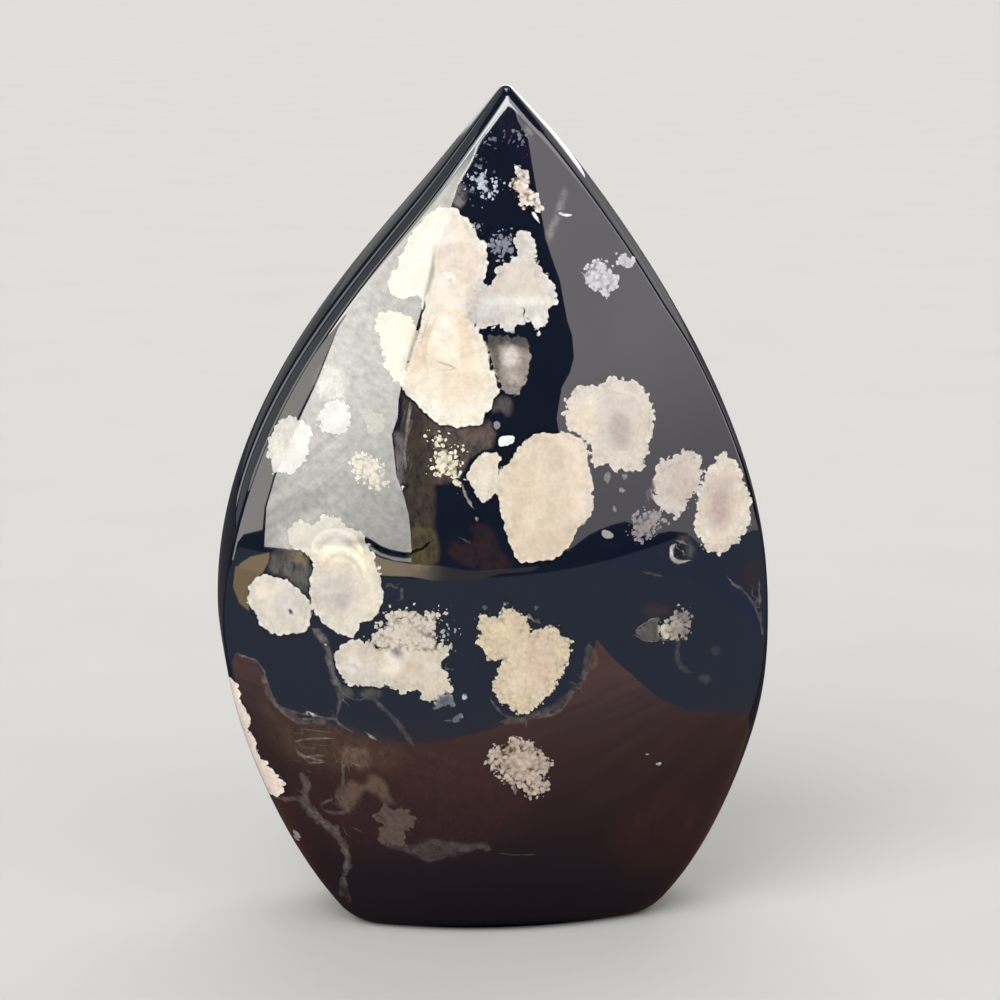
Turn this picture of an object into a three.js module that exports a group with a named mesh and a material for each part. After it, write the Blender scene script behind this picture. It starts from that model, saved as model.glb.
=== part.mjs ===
// Cherry blossom agate freeform: one polished, flame-shaped stone that stands on a flat base.
// It has a domed front and a domed back, each ending in a crisp edge, and a bulging band between them.
// Millimetres, +Z up, front towards -Y. The origin is on the flat base, under the middle of the stone.
import * as THREE from "three";

// The sharp point in which the two sides would meet. The round tip's top is 100 mm above the base.
const APEX = new THREE.Vector2(1.8, 100.61);
const TIP_RADIUS = 1.2;
const SHARPEST_TIP = 0.3; // radius that the tip of the front and back edges keeps
const CORNER_RADIUS = 6; // between a side and the base, seen from the front

// Each side runs straight from the apex, bends to its widest point and leans in to the base.
// Angles are from upright, in degrees. The reaches are the lengths of the curve's four handles.
const RIGHT = {
  sign: 1,
  apexAngle: 43.4,
  straight: 7.3,
  widest: new THREE.Vector2(33.6, 39.5),
  baseAngle: 43.5,
  baseHalf: 16.3,
  reaches: [5, 23.5, 12, 12.8],
};
const LEFT = {
  sign: -1,
  apexAngle: 39.7,
  straight: 12.2,
  widest: new THREE.Vector2(32.9, 38.7),
  baseAngle: 39.3,
  baseHalf: 14.1,
  reaches: [13.1, 24.7, 5, 17.1],
};

// The domed faces, as depths from the middle plane.
const FRONT_DEPTH = 16.2;
const BACK_DEPTH = 15;
const DEEPEST_AT = 22; // height of the thickest place
const THIN_AT = 83; // how far from the thickest place the ridge would come down to nothing
const TAPER_DOWN = 0.00032; // thins it more towards the base, with the cube of the depth below
const DOME_RADIUS = 62; // across the face
const FOOT_DOME_RADIUS = 40; // across the face at the base
const FOOT_BLEND_TOP = 35; // height where the foot's rounder dome has faded out

// The band around the edge: how far the front and back edges lie inside the outline.
const LEFT_BULGE = 1.8;
const RIGHT_BULGE = 1.4;
const TIP_BULGE = 1.35;
const BULGE_FROM = 20; // the bulge fades in between these heights
const BULGE_FULL = 62;
const TIP_BULGE_FROM = 84; // and passes to the tip's between these
const TIP_BULGE_FULL = 100;
const EDGE_RADIUS = 0.4; // of the crisp edge, higher up
const FOOT_EDGE_RADIUS = 2.2; // of the worn round edge at the base
const EDGE_SOFT_BELOW = 12;
const EDGE_CRISP_ABOVE = 42;

// Steps of the surface.
const TIP_STEPS = 6;
const SIDE_STEPS = 30;
const CORNER_STEPS = 6;
const BASE_STEPS = 18;
const BAND_ROWS = 3; // from the middle of the band to an edge
const EDGE_ROWS = 3; // across an edge
const FACE_RINGS = 9; // from an edge to the middle of a face
const FACE_MIDDLE = new THREE.Vector2(0.7, 42); // where the rings of a face close

const lerp = THREE.MathUtils.lerp;
const smooth = THREE.MathUtils.smootherstep; // smooth(value, from, to)
const radians = THREE.MathUtils.degToRad;

// A unit vector at an angle from +X towards +Z.
function direction(angle) {
  return new THREE.Vector2(Math.cos(angle), Math.sin(angle));
}

// The outline of one side, from the sharp apex to the corner at the base.
// The angles are those of its outward normals at the tip and at the corner.
function outlineSide(side) {
  const away = side.sign * Math.sin(radians(side.apexAngle));
  const fall = new THREE.Vector2(away, -Math.cos(radians(side.apexAngle)));
  const lean = radians(side.baseAngle);
  const inwards = new THREE.Vector2(-side.sign * Math.sin(lean), -Math.cos(lean));
  const widest = new THREE.Vector2(side.sign * side.widest.x, side.widest.y);
  const cornerCentre = new THREE.Vector2(side.sign * side.baseHalf, CORNER_RADIUS);
  const outwards = new THREE.Vector2(side.sign * Math.cos(lean), -Math.sin(lean));
  const end = cornerCentre.clone().addScaledVector(outwards, CORNER_RADIUS);
  const bend = APEX.clone().addScaledVector(fall, side.straight);
  const [afterBend, aboveWidest, belowWidest, beforeEnd] = side.reaches;
  const path = new THREE.Path();
  path.moveTo(APEX.x, APEX.y);
  path.lineTo(bend.x, bend.y);
  path.bezierCurveTo(
    bend.x + fall.x * afterBend,
    bend.y + fall.y * afterBend,
    widest.x,
    widest.y + aboveWidest,
    widest.x,
    widest.y,
  );
  path.bezierCurveTo(
    widest.x,
    widest.y - belowWidest,
    end.x - inwards.x * beforeEnd,
    end.y - inwards.y * beforeEnd,
    end.x,
    end.y,
  );
  const tipAngle = radians(side.apexAngle);
  return {
    path,
    length: path.getLength(),
    sign: side.sign,
    cornerCentre,
    tipNormal: side.sign > 0 ? tipAngle : Math.PI - tipAngle,
    cornerNormal: side.sign > 0 ? -lean : Math.PI + lean,
  };
}

const right = outlineSide(RIGHT);
const left = outlineSide(LEFT);
const halfApex = (left.tipNormal - right.tipNormal) / 2;
const halfAngle = Math.PI / 2 - halfApex; // between a side and the line that halves the apex
const downFromApex = direction((left.tipNormal + right.tipNormal) / 2).negate();

// The round tip of an outline drawn inset millimetres inside: its radius, and how far
// its centre lies inside the straight sides as they were before the inset.
function tipAt(inset) {
  const radius = Math.max(TIP_RADIUS - inset, SHARPEST_TIP);
  return { radius, offset: inset + radius };
}

// Stations go round the outline from the tip, down the right side, along the base and up the left side.
// Each gives its point for any inset, and its bulge's share of left against right.
function tipStation(share) {
  const normal = direction(lerp(left.tipNormal, right.tipNormal, share));
  const at = (inset) => {
    const { radius, offset } = tipAt(inset);
    return APEX.clone()
      .addScaledVector(downFromApex, offset / Math.sin(halfAngle))
      .addScaledVector(normal, radius);
  };
  return { at, rightShare: share };
}

function sideStation(side, share) {
  const at = (inset) => {
    const start = tipAt(inset).offset / Math.tan(halfAngle);
    const along = lerp(start, side.length, share) / side.length;
    const tangent = side.path.getTangent(along);
    const outwards = new THREE.Vector2(-tangent.y, tangent.x).multiplyScalar(side.sign);
    return side.path.getPoint(along).addScaledVector(outwards, -inset);
  };
  return { at, rightShare: side.sign > 0 ? 1 : 0 };
}

function cornerStation(side, share) {
  const down = side.sign > 0 ? -Math.PI / 2 : (3 * Math.PI) / 2;
  const normal = direction(lerp(side.cornerNormal, down, share));
  const at = (inset) => side.cornerCentre.clone().addScaledVector(normal, CORNER_RADIUS - inset);
  return { at, rightShare: side.sign > 0 ? 1 : 0 };
}

function baseStation(share) {
  const x = lerp(RIGHT.baseHalf, -LEFT.baseHalf, share);
  return { at: (inset) => new THREE.Vector2(x, inset), rightShare: 1 - share };
}

// Calls make(share) count times, from share 0 up to but not at 1.
function steps(count, make) {
  return Array.from({ length: count }, (_, i) => make(i / count));
}

const stations = [
  ...steps(TIP_STEPS, tipStation),
  ...steps(SIDE_STEPS, (share) => sideStation(right, share)),
  ...steps(CORNER_STEPS, (share) => cornerStation(right, share)),
  ...steps(BASE_STEPS, baseStation),
  ...steps(CORNER_STEPS, (share) => cornerStation(left, 1 - share)),
  ...steps(SIDE_STEPS, (share) => sideStation(left, 1 - share)),
];

// Depth of a domed face behind the point (x, z) of the front view.
function faceDepth(point, deepest) {
  const fromDeepest = point.y - DEEPEST_AT;
  const ridge =
    deepest * (1 - (fromDeepest / THIN_AT) ** 2) - TAPER_DOWN * Math.max(0, -fromDeepest) ** 3;
  const footShare = 1 - smooth(point.y, 0, FOOT_BLEND_TOP);
  const curvature = lerp(1 / DOME_RADIUS, 1 / FOOT_DOME_RADIUS, footShare);
  const fromRidge = point.x - (APEX.x * point.y) / APEX.y;
  return ridge - (curvature * fromRidge ** 2) / 2;
}

// The loops of one half, from the middle plane at the outline to just short of the face's middle.
// facing is -1 for the front half and 1 for the back half.
function halfLoops(deepest, facing) {
  const place = (point, depth) => new THREE.Vector3(point.x, facing * depth, point.y);
  const onFace = (station, inset) => {
    const point = station.at(inset);
    return place(point, faceDepth(point, deepest));
  };
  const profiles = stations.map((station) => {
    const height = station.at(0).y;
    const sideBulge = lerp(LEFT_BULGE, RIGHT_BULGE, station.rightShare);
    const tipShare = smooth(height, TIP_BULGE_FROM, TIP_BULGE_FULL);
    const bulge = lerp(sideBulge, TIP_BULGE, tipShare) * smooth(height, BULGE_FROM, BULGE_FULL);
    const crispness = smooth(height, EDGE_SOFT_BELOW, EDGE_CRISP_ABOVE);
    const edge = lerp(FOOT_EDGE_RADIUS, EDGE_RADIUS, crispness);
    const edgeDepth = faceDepth(station.at(bulge), deepest);
    const onBand = (depth) => place(station.at(bulge * (depth / edgeDepth) ** 2), depth);
    const rows = [];
    for (let i = 0; i < BAND_ROWS; i++) {
      rows.push(onBand((edgeDepth - edge) * (i / BAND_ROWS)));
    }
    for (let i = 0; i <= EDGE_ROWS; i++) {
      const share = i / EDGE_ROWS;
      const before = onBand(edgeDepth - edge * (1 - share));
      rows.push(before.lerp(onFace(station, bulge + edge * share), smooth(share, 0, 1)));
    }
    const rim = station.at(bulge + edge);
    for (let i = 1; i < FACE_RINGS; i++) {
      const point = rim.clone().lerp(FACE_MIDDLE, i / FACE_RINGS);
      rows.push(place(point, faceDepth(point, deepest)));
    }
    return rows;
  });
  return profiles[0].map((_, row) => profiles.map((rows) => rows[row]));
}

// A closed surface through loops of equal length, with a fan to a point at either end.
function closedSurface(firstPoint, loops, lastPoint) {
  const points = [firstPoint, ...loops.flat(), lastPoint];
  const count = loops[0].length;
  const last = points.length - 1;
  const indices = [];
  for (let i = 0; i < count; i++) {
    const next = (i + 1) % count;
    indices.push(0, 1 + next, 1 + i);
    for (let row = 0; row + 1 < loops.length; row++) {
      const a = 1 + row * count + i;
      const b = 1 + row * count + next;
      indices.push(a, b, b + count, a, b + count, a + count);
    }
    indices.push(last, last - count + i, last - count + next);
  }
  const geometry = new THREE.BufferGeometry().setFromPoints(points);
  geometry.setIndex(indices);
  geometry.computeVertexNormals();
  return geometry;
}

function agateFreeform() {
  const front = halfLoops(FRONT_DEPTH, -1).reverse();
  const [, ...back] = halfLoops(BACK_DEPTH, 1);
  const middle = (deepest, facing) =>
    new THREE.Vector3(FACE_MIDDLE.x, facing * faceDepth(FACE_MIDDLE, deepest), FACE_MIDDLE.y);
  const geometry = closedSurface(
    middle(FRONT_DEPTH, -1),
    [...front, ...back],
    middle(BACK_DEPTH, 1),
  );
  const polishedAgate = new THREE.MeshStandardMaterial({
    color: 0x1a1a24,
    roughness: 0.06,
    metalness: 0,
  });
  const stone = new THREE.Mesh(geometry, polishedAgate);
  stone.name = "agate_freeform";
  return stone;
}

const group = new THREE.Group();
group.add(agateFreeform());
export default group;
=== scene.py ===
"""Looks of the cherry blossom agate freeform: its fine surface, its markings, the lights and the camera.

Sizes are in millimetres until a mesh is made. +Z is up and the front face looks towards -Y.
A marking that shows in the photographed view is outlined in that view's picture points, in a picture
1000 wide and high. Its points are carried onto the stone along the lines of sight.
"""
import math

import bmesh
import bpy
import numpy as np
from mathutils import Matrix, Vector


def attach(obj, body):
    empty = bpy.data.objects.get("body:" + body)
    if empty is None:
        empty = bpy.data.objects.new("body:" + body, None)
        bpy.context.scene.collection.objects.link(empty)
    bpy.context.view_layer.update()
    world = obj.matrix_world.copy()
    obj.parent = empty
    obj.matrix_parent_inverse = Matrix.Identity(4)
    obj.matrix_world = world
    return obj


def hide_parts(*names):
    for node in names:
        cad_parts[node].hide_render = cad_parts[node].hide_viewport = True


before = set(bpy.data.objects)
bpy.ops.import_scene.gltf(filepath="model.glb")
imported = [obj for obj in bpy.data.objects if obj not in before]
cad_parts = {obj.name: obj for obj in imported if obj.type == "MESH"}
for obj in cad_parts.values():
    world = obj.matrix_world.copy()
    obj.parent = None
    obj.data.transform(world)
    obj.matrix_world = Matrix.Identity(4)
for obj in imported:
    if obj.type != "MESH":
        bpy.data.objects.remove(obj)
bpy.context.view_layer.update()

METRES = 0.001  # in a millimetre

# The outline, as the solid has it.
APEX = np.array([1.8, 100.61])
TIP_RADIUS = 1.2
SHARPEST_TIP = 0.3
CORNER_RADIUS = 6.0
RIGHT = {
    "sign": 1,
    "apex_angle": 43.4,
    "straight": 7.3,
    "widest": (33.6, 39.5),
    "base_angle": 43.5,
    "base_half": 16.3,
    "reaches": (5.0, 23.5, 12.0, 12.8),
}
LEFT = {
    "sign": -1,
    "apex_angle": 39.7,
    "straight": 12.2,
    "widest": (32.9, 38.7),
    "base_angle": 39.3,
    "base_half": 14.1,
    "reaches": (13.1, 24.7, 5.0, 17.1),
}

# The domed faces.
FRONT_DEPTH = 16.2
BACK_DEPTH = 15.0
DEEPEST_AT = 22.0
THIN_AT = 83.0
TAPER_DOWN = 0.00032
DOME_RADIUS = 62.0
FOOT_DOME_RADIUS = 40.0
FOOT_BLEND_TOP = 35.0
RIPPLE = 0.018  # how deep the faint waves are that hand polishing leaves
RIPPLE_START = 7.0  # and how far from an edge they reach that depth

# The band round the edge.
LEFT_BULGE = 1.8
RIGHT_BULGE = 1.4
TIP_BULGE = 1.35
LEFT_BULGE_HEIGHTS = (20.0, 62.0)
RIGHT_BULGE_LOW = 0.95  # below these heights the right band is a slimmer, flatter bevel
RIGHT_BULGE_HEIGHTS = (68.0, 78.0)
RIGHT_FADE_HEIGHTS = (20.0, 45.0)
ROUND_BAND = 2.0
FLAT_BAND = 1.3
TIP_BULGE_HEIGHTS = (84.0, 100.0)
EDGE_RADIUS = 0.4
FOOT_EDGE_RADIUS = 2.2
EDGE_HEIGHTS = (12.0, 42.0)

# Steps of the surface.
TIP_STEPS = 6
SIDE_STEPS = 228
CORNER_STEPS = 14
STRAIGHT_STEPS = 200
CURVE_STEPS = 500
FLANK_STEPS = TIP_STEPS + SIDE_STEPS + CORNER_STEPS
BASE_STEPS = 140
BAND_ROWS = 5
EDGE_ROWS = 5

# The photographed view.
YAW = math.radians(4.68)  # the camera stands this far to the left
TILT = math.radians(11.27)  # and looks down by this much
TARGET = np.array([1.17, 0.0, 50.38])
DISTANCE = 360.0
PICTURE = 1000
FOCAL = 2990.0  # in picture points
SENSOR = 36.0
PICTURE_MIDDLE = PICTURE / 2
POINTS_PER_MM = FOCAL / DISTANCE

OUT = np.array([-math.sin(YAW) * math.cos(TILT), -math.cos(YAW) * math.cos(TILT), math.sin(TILT)])
ACROSS = np.array([math.cos(YAW), -math.sin(YAW), 0.0])
UP = np.cross(OUT, ACROSS)
EYE = TARGET + DISTANCE * OUT


def smooth(value, start, end):
    share = np.clip((value - start) / (end - start), 0, 1)
    return share**3 * (share * (6 * share - 15) + 10)


def mix(a, b, share):
    return a * (1 - share) + b * share


def unit(vector):
    return vector / np.linalg.norm(vector)


# Shape


def bezier(a, b, c, d):
    t = np.linspace(0, 1, CURVE_STEPS)[:, None]
    return (1 - t) ** 3 * a + 3 * (1 - t) ** 2 * t * b + 3 * (1 - t) * t**2 * c + t**3 * d


def angle_point(angle):
    return np.stack([np.cos(angle), np.sin(angle)], -1)


class Flank:
    """One side of the outline, from the sharp apex to the corner at the base."""

    def __init__(self, side):
        self.sign = side["sign"]
        self.base_half = side["base_half"]
        apex_angle = math.radians(side["apex_angle"])
        lean = math.radians(side["base_angle"])
        fall = np.array([self.sign * math.sin(apex_angle), -math.cos(apex_angle)])
        inwards = np.array([-self.sign * math.sin(lean), -math.cos(lean)])
        widest = np.array([self.sign * side["widest"][0], side["widest"][1]])
        self.corner = np.array([self.sign * self.base_half, CORNER_RADIUS])
        outwards = np.array([self.sign * math.cos(lean), -math.sin(lean)])
        end = self.corner + CORNER_RADIUS * outwards
        bend = APEX + fall * side["straight"]
        after_bend, above, below, before_end = side["reaches"]
        up = np.array([0.0, 1.0])
        upper = bezier(bend, bend + fall * after_bend, widest + up * above, widest)
        lower = bezier(widest, widest - up * below, end - inwards * before_end, end)
        self.line = np.vstack([np.linspace(APEX, bend, STRAIGHT_STEPS), upper[1:], lower[1:]])
        pieces = np.linalg.norm(np.diff(self.line, axis=0), axis=1)
        self.along = np.concatenate([[0], np.cumsum(pieces)])
        tangent = np.gradient(self.line, self.along, axis=0)
        self.tangent = tangent / np.linalg.norm(tangent, axis=1)[:, None]
        self.tip_normal = apex_angle if self.sign > 0 else math.pi - apex_angle
        self.corner_normal = -lean if self.sign > 0 else math.pi + lean
        self.down = -math.pi / 2 if self.sign > 0 else 3 * math.pi / 2

    def at(self, length, inset):
        point = [np.interp(length, self.along, self.line[:, i]) for i in (0, 1)]
        tangent = [np.interp(length, self.along, self.tangent[:, i]) for i in (0, 1)]
        x = point[0] + inset * tangent[1] * self.sign
        z = point[1] - inset * tangent[0] * self.sign
        return np.stack([x, z], -1)


right_flank = Flank(RIGHT)
left_flank = Flank(LEFT)
top_normal = (right_flank.tip_normal + left_flank.tip_normal) / 2
half_angle = math.pi / 2 - (left_flank.tip_normal - right_flank.tip_normal) / 2


def tip_arc(normal, inset):
    radius = np.maximum(TIP_RADIUS - inset, SHARPEST_TIP)
    centre = APEX - angle_point(top_normal) * ((inset + radius) / math.sin(half_angle))[:, None]
    return centre + angle_point(normal) * radius[:, None]


def flank_points(flank, inset):
    """Points of one side from beside the tip to the base's end, for an inset at each."""
    tip, corner = TIP_STEPS, TIP_STEPS + SIDE_STEPS
    normals = mix(top_normal, flank.tip_normal, np.arange(1, TIP_STEPS + 1) / TIP_STEPS)
    arc = tip_arc(normals, inset[:tip])
    middle = inset[tip:corner]
    radius = np.maximum(TIP_RADIUS - middle, SHARPEST_TIP)
    start = (middle + radius) / math.tan(half_angle)
    share = np.arange(1, SIDE_STEPS + 1) / SIDE_STEPS
    side = flank.at(mix(start, flank.along[-1], share), middle)
    turn = mix(flank.corner_normal, flank.down, np.arange(1, CORNER_STEPS + 1) / CORNER_STEPS)
    foot = flank.corner + angle_point(turn) * (CORNER_RADIUS - inset[corner:])[:, None]
    return np.vstack([arc, side, foot])


RIM_COUNT = 2 * FLANK_STEPS + BASE_STEPS
base_shares = np.arange(1, BASE_STEPS) / BASE_STEPS


def ring(inset):
    """The outline drawn inset millimetres inside: tip, right side, base, left side."""
    inset = np.broadcast_to(np.asarray(inset, float), (RIM_COUNT,))
    base_from, base_to = 1 + FLANK_STEPS, FLANK_STEPS + BASE_STEPS
    tip = tip_arc(np.array([top_normal]), inset[:1])
    right = flank_points(right_flank, inset[1:base_from])
    x = mix(RIGHT["base_half"], -LEFT["base_half"], base_shares)
    base = np.stack([x, inset[base_from:base_to]], -1)
    left = flank_points(left_flank, inset[:base_to - 1:-1])[::-1]
    return np.vstack([tip, right, base, left])


def face_depth(x, z, deepest):
    """Depth of a domed face from the middle plane."""
    above = z - DEEPEST_AT
    ridge = deepest * (1 - (above / THIN_AT) ** 2) - TAPER_DOWN * np.maximum(0, -above) ** 3
    foot = 1 - smooth(z, 0, FOOT_BLEND_TOP)
    from_ridge = x - APEX[0] * z / APEX[1]
    return ridge - mix(1 / DOME_RADIUS, 1 / FOOT_DOME_RADIUS, foot) * from_ridge**2 / 2


def polish_waves(x, z):
    """From 0 to -1, in gentle waves about 20 mm apart."""
    one = np.sin(x / 3.1 + 1.3 * np.sin(z / 9) + 0.4)
    two = np.sin(z / 3.6 + 0.9 * np.sin(x / 7) + 1.9)
    three = np.sin((x + z) / 4.7 + 2.2)
    return (one + two + three - 3) / 6


def stand(xz, y):
    return np.stack([xz[:, 0], y, xz[:, 1]], -1)


def half_rows(deepest, facing):
    """The rows of one half from the middle of the band to the rim of its face."""
    height = ring(0)[:, 1]
    right_share = np.concatenate([np.ones(1 + FLANK_STEPS), 1 - base_shares, np.zeros(FLANK_STEPS)])
    high = smooth(height, *RIGHT_BULGE_HEIGHTS)
    left = LEFT_BULGE * smooth(height, *LEFT_BULGE_HEIGHTS)
    right = mix(RIGHT_BULGE_LOW, RIGHT_BULGE, high) * smooth(height, *RIGHT_FADE_HEIGHTS)
    bulge = mix(mix(left, right, right_share), TIP_BULGE, smooth(height, *TIP_BULGE_HEIGHTS))
    roundness = mix(ROUND_BAND, FLAT_BAND, right_share * (1 - high))
    edge = mix(FOOT_EDGE_RADIUS, EDGE_RADIUS, smooth(height, *EDGE_HEIGHTS))
    crest = ring(bulge)
    edge_depth = face_depth(crest[:, 0], crest[:, 1], deepest)

    def on_band(depth):
        return stand(ring(bulge * (depth / edge_depth) ** roundness), facing * depth)

    rows = [on_band((edge_depth - edge) * i / BAND_ROWS) for i in range(BAND_ROWS)]
    for i in range(EDGE_ROWS + 1):
        share = i / EDGE_ROWS
        face = ring(bulge + edge * share)
        face = stand(face, facing * face_depth(face[:, 0], face[:, 1], deepest))
        rows.append(mix(on_band(edge_depth - edge * (1 - share)), face, smooth(share, 0, 1)))
    return rows


def face_grid(rim, deepest, facing):
    """Inner points of a face, in rows that join its left and right rims."""
    rows = np.arange(1, FLANK_STEPS)
    columns = np.arange(1, BASE_STEPS) / BASE_STEPS
    left = rim[RIM_COUNT - rows][:, None, :]
    right = rim[rows][:, None, :]
    across = columns[None, :, None]
    points = mix(left, right, across)
    x, z = points[..., 0], points[..., 2]
    width = right[..., 0] - left[..., 0]
    from_sides = width * columns * (1 - columns)
    strength = RIPPLE * smooth(from_sides, 0, RIPPLE_START) * smooth(z, 0, RIPPLE_START)
    depth = face_depth(x, z, deepest) + strength * polish_waves(x * facing, z)
    return np.stack([x, facing * depth, z], -1)


def stone_surface():
    """Every point of the stone, and its faces as lists of point numbers."""
    front = half_rows(FRONT_DEPTH, -1)[::-1]
    back = half_rows(BACK_DEPTH, 1)[1:]
    strip = np.array(front + back)
    grids = [face_grid(strip[0], FRONT_DEPTH, -1), face_grid(strip[-1], BACK_DEPTH, 1)]
    points = np.vstack([strip.reshape(-1, 3)] + [grid.reshape(-1, 3) for grid in grids])
    faces = []
    for row in range(len(strip) - 1):
        a = row * RIM_COUNT + np.arange(RIM_COUNT)
        b = row * RIM_COUNT + (np.arange(RIM_COUNT) + 1) % RIM_COUNT
        faces += np.stack([a, b, b + RIM_COUNT, a + RIM_COUNT], -1).tolist()
    first_inner = len(strip) * RIM_COUNT
    for rim_row, order in ((0, 1), (len(strip) - 1, -1)):
        rim = rim_row * RIM_COUNT + np.arange(RIM_COUNT)
        inner = first_inner + np.arange((FLANK_STEPS - 1) * (BASE_STEPS - 1))
        first_inner += inner.size
        number = np.empty((FLANK_STEPS + 1, BASE_STEPS + 1), int)
        number[0] = rim[0]
        number[1:, 0] = rim[RIM_COUNT - np.arange(1, FLANK_STEPS + 1)]
        number[1:, -1] = rim[1:FLANK_STEPS + 1]
        number[1:-1, 1:-1] = inner.reshape(FLANK_STEPS - 1, BASE_STEPS - 1)
        number[-1] = rim[FLANK_STEPS:FLANK_STEPS + BASE_STEPS + 1][::-1]
        quads = np.stack([number[:-1, :-1], number[1:, :-1], number[1:, 1:], number[:-1, 1:]], -1)
        quads = quads.reshape(-1, 4)[:, ::order]
        fan = quads[:BASE_STEPS]
        faces += [[n for i, n in enumerate(face) if n not in face[:i]] for face in fan.tolist()]
        faces += quads[BASE_STEPS:].tolist()
    return points, faces


# Lines of sight


def to_picture(points):
    """Where points show in the picture, in picture points."""
    away = points - EYE
    depth = away @ -OUT
    return np.stack([
        PICTURE_MIDDLE + FOCAL * (away @ ACROSS) / depth,
        PICTURE_MIDDLE - FOCAL * (away @ UP) / depth,
    ], -1)


def front_y(x, z):
    return -face_depth(x, z, FRONT_DEPTH)


SIGHT_ROUNDS = 20  # enough for a line of sight to settle on the domed face
SLOPE_STEP = 0.01


def on_front(x, y):
    """The point of the front face that shows at a picture point, and the line of sight to it."""
    sight = unit(-OUT + (ACROSS * (x - PICTURE_MIDDLE) - UP * (y - PICTURE_MIDDLE)) / FOCAL)
    plane = -FRONT_DEPTH
    for _ in range(SIGHT_ROUNDS):
        point = EYE + sight * (plane - EYE[1]) / sight[1]
        plane = front_y(point[0], point[2])
    return point, sight


def mirrored(x, y):
    """A point of the front face, and the direction in which it reflects."""
    point, sight = on_front(x, y)
    x, z, step = point[0], point[2], SLOPE_STEP
    slope_x = (front_y(x + step, z) - front_y(x - step, z)) / (2 * step)
    slope_z = (front_y(x, z + step) - front_y(x, z - step)) / (2 * step)
    normal = unit(np.array([slope_x, -1.0, slope_z]))
    return point, sight - 2 * (sight @ normal) * normal


# Markings that show in the photographed view


def oval(x, y, half_width, half_height, lean=0):
    """An outline of six points, its long way turned clockwise by lean degrees."""
    turn = math.radians(lean)
    outline = []
    for step in range(6):
        angle = step * math.pi / 3
        across = half_width * math.cos(angle)
        down = half_height * math.sin(angle)
        outline.append((x + across * math.cos(turn) - down * math.sin(turn),
                        y + across * math.sin(turn) + down * math.cos(turn)))
    return outline


# Kinds of blossom: how far the edge wanders in lobes and how far it breaks into crumbs, both in
# millimetres, how grainy it is and how opaque.
SMOOTH = (0.26, 0.06, 0.08, 1.0)
SOLID = (0.10, 0.0, 0.0, 1.0)
FRILLED = (0.44, 0.18, 0.12, 1.0)
FEATHERY = (0.55, 0.38, 0.15, 0.97)
KNOBBLY = (0.30, 0.42, 0.28, 1.0)
GRANULAR = (0.35, 1.15, 0.62, 1.0)
PITTED = (0.30, 0.60, 1.0, 1.0)
CRUMBLED = (0.40, 1.6, 0.9, 0.97)
GRAINED = (0.30, 0.50, 0.75, 1.0)
HAZY = (0.22, 0.18, 0.30, 0.85)
MISTY = (0.25, 0.30, 0.35, 0.80)
SPOT = (0.08, 0.05, 0.15, 0.9)

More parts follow.
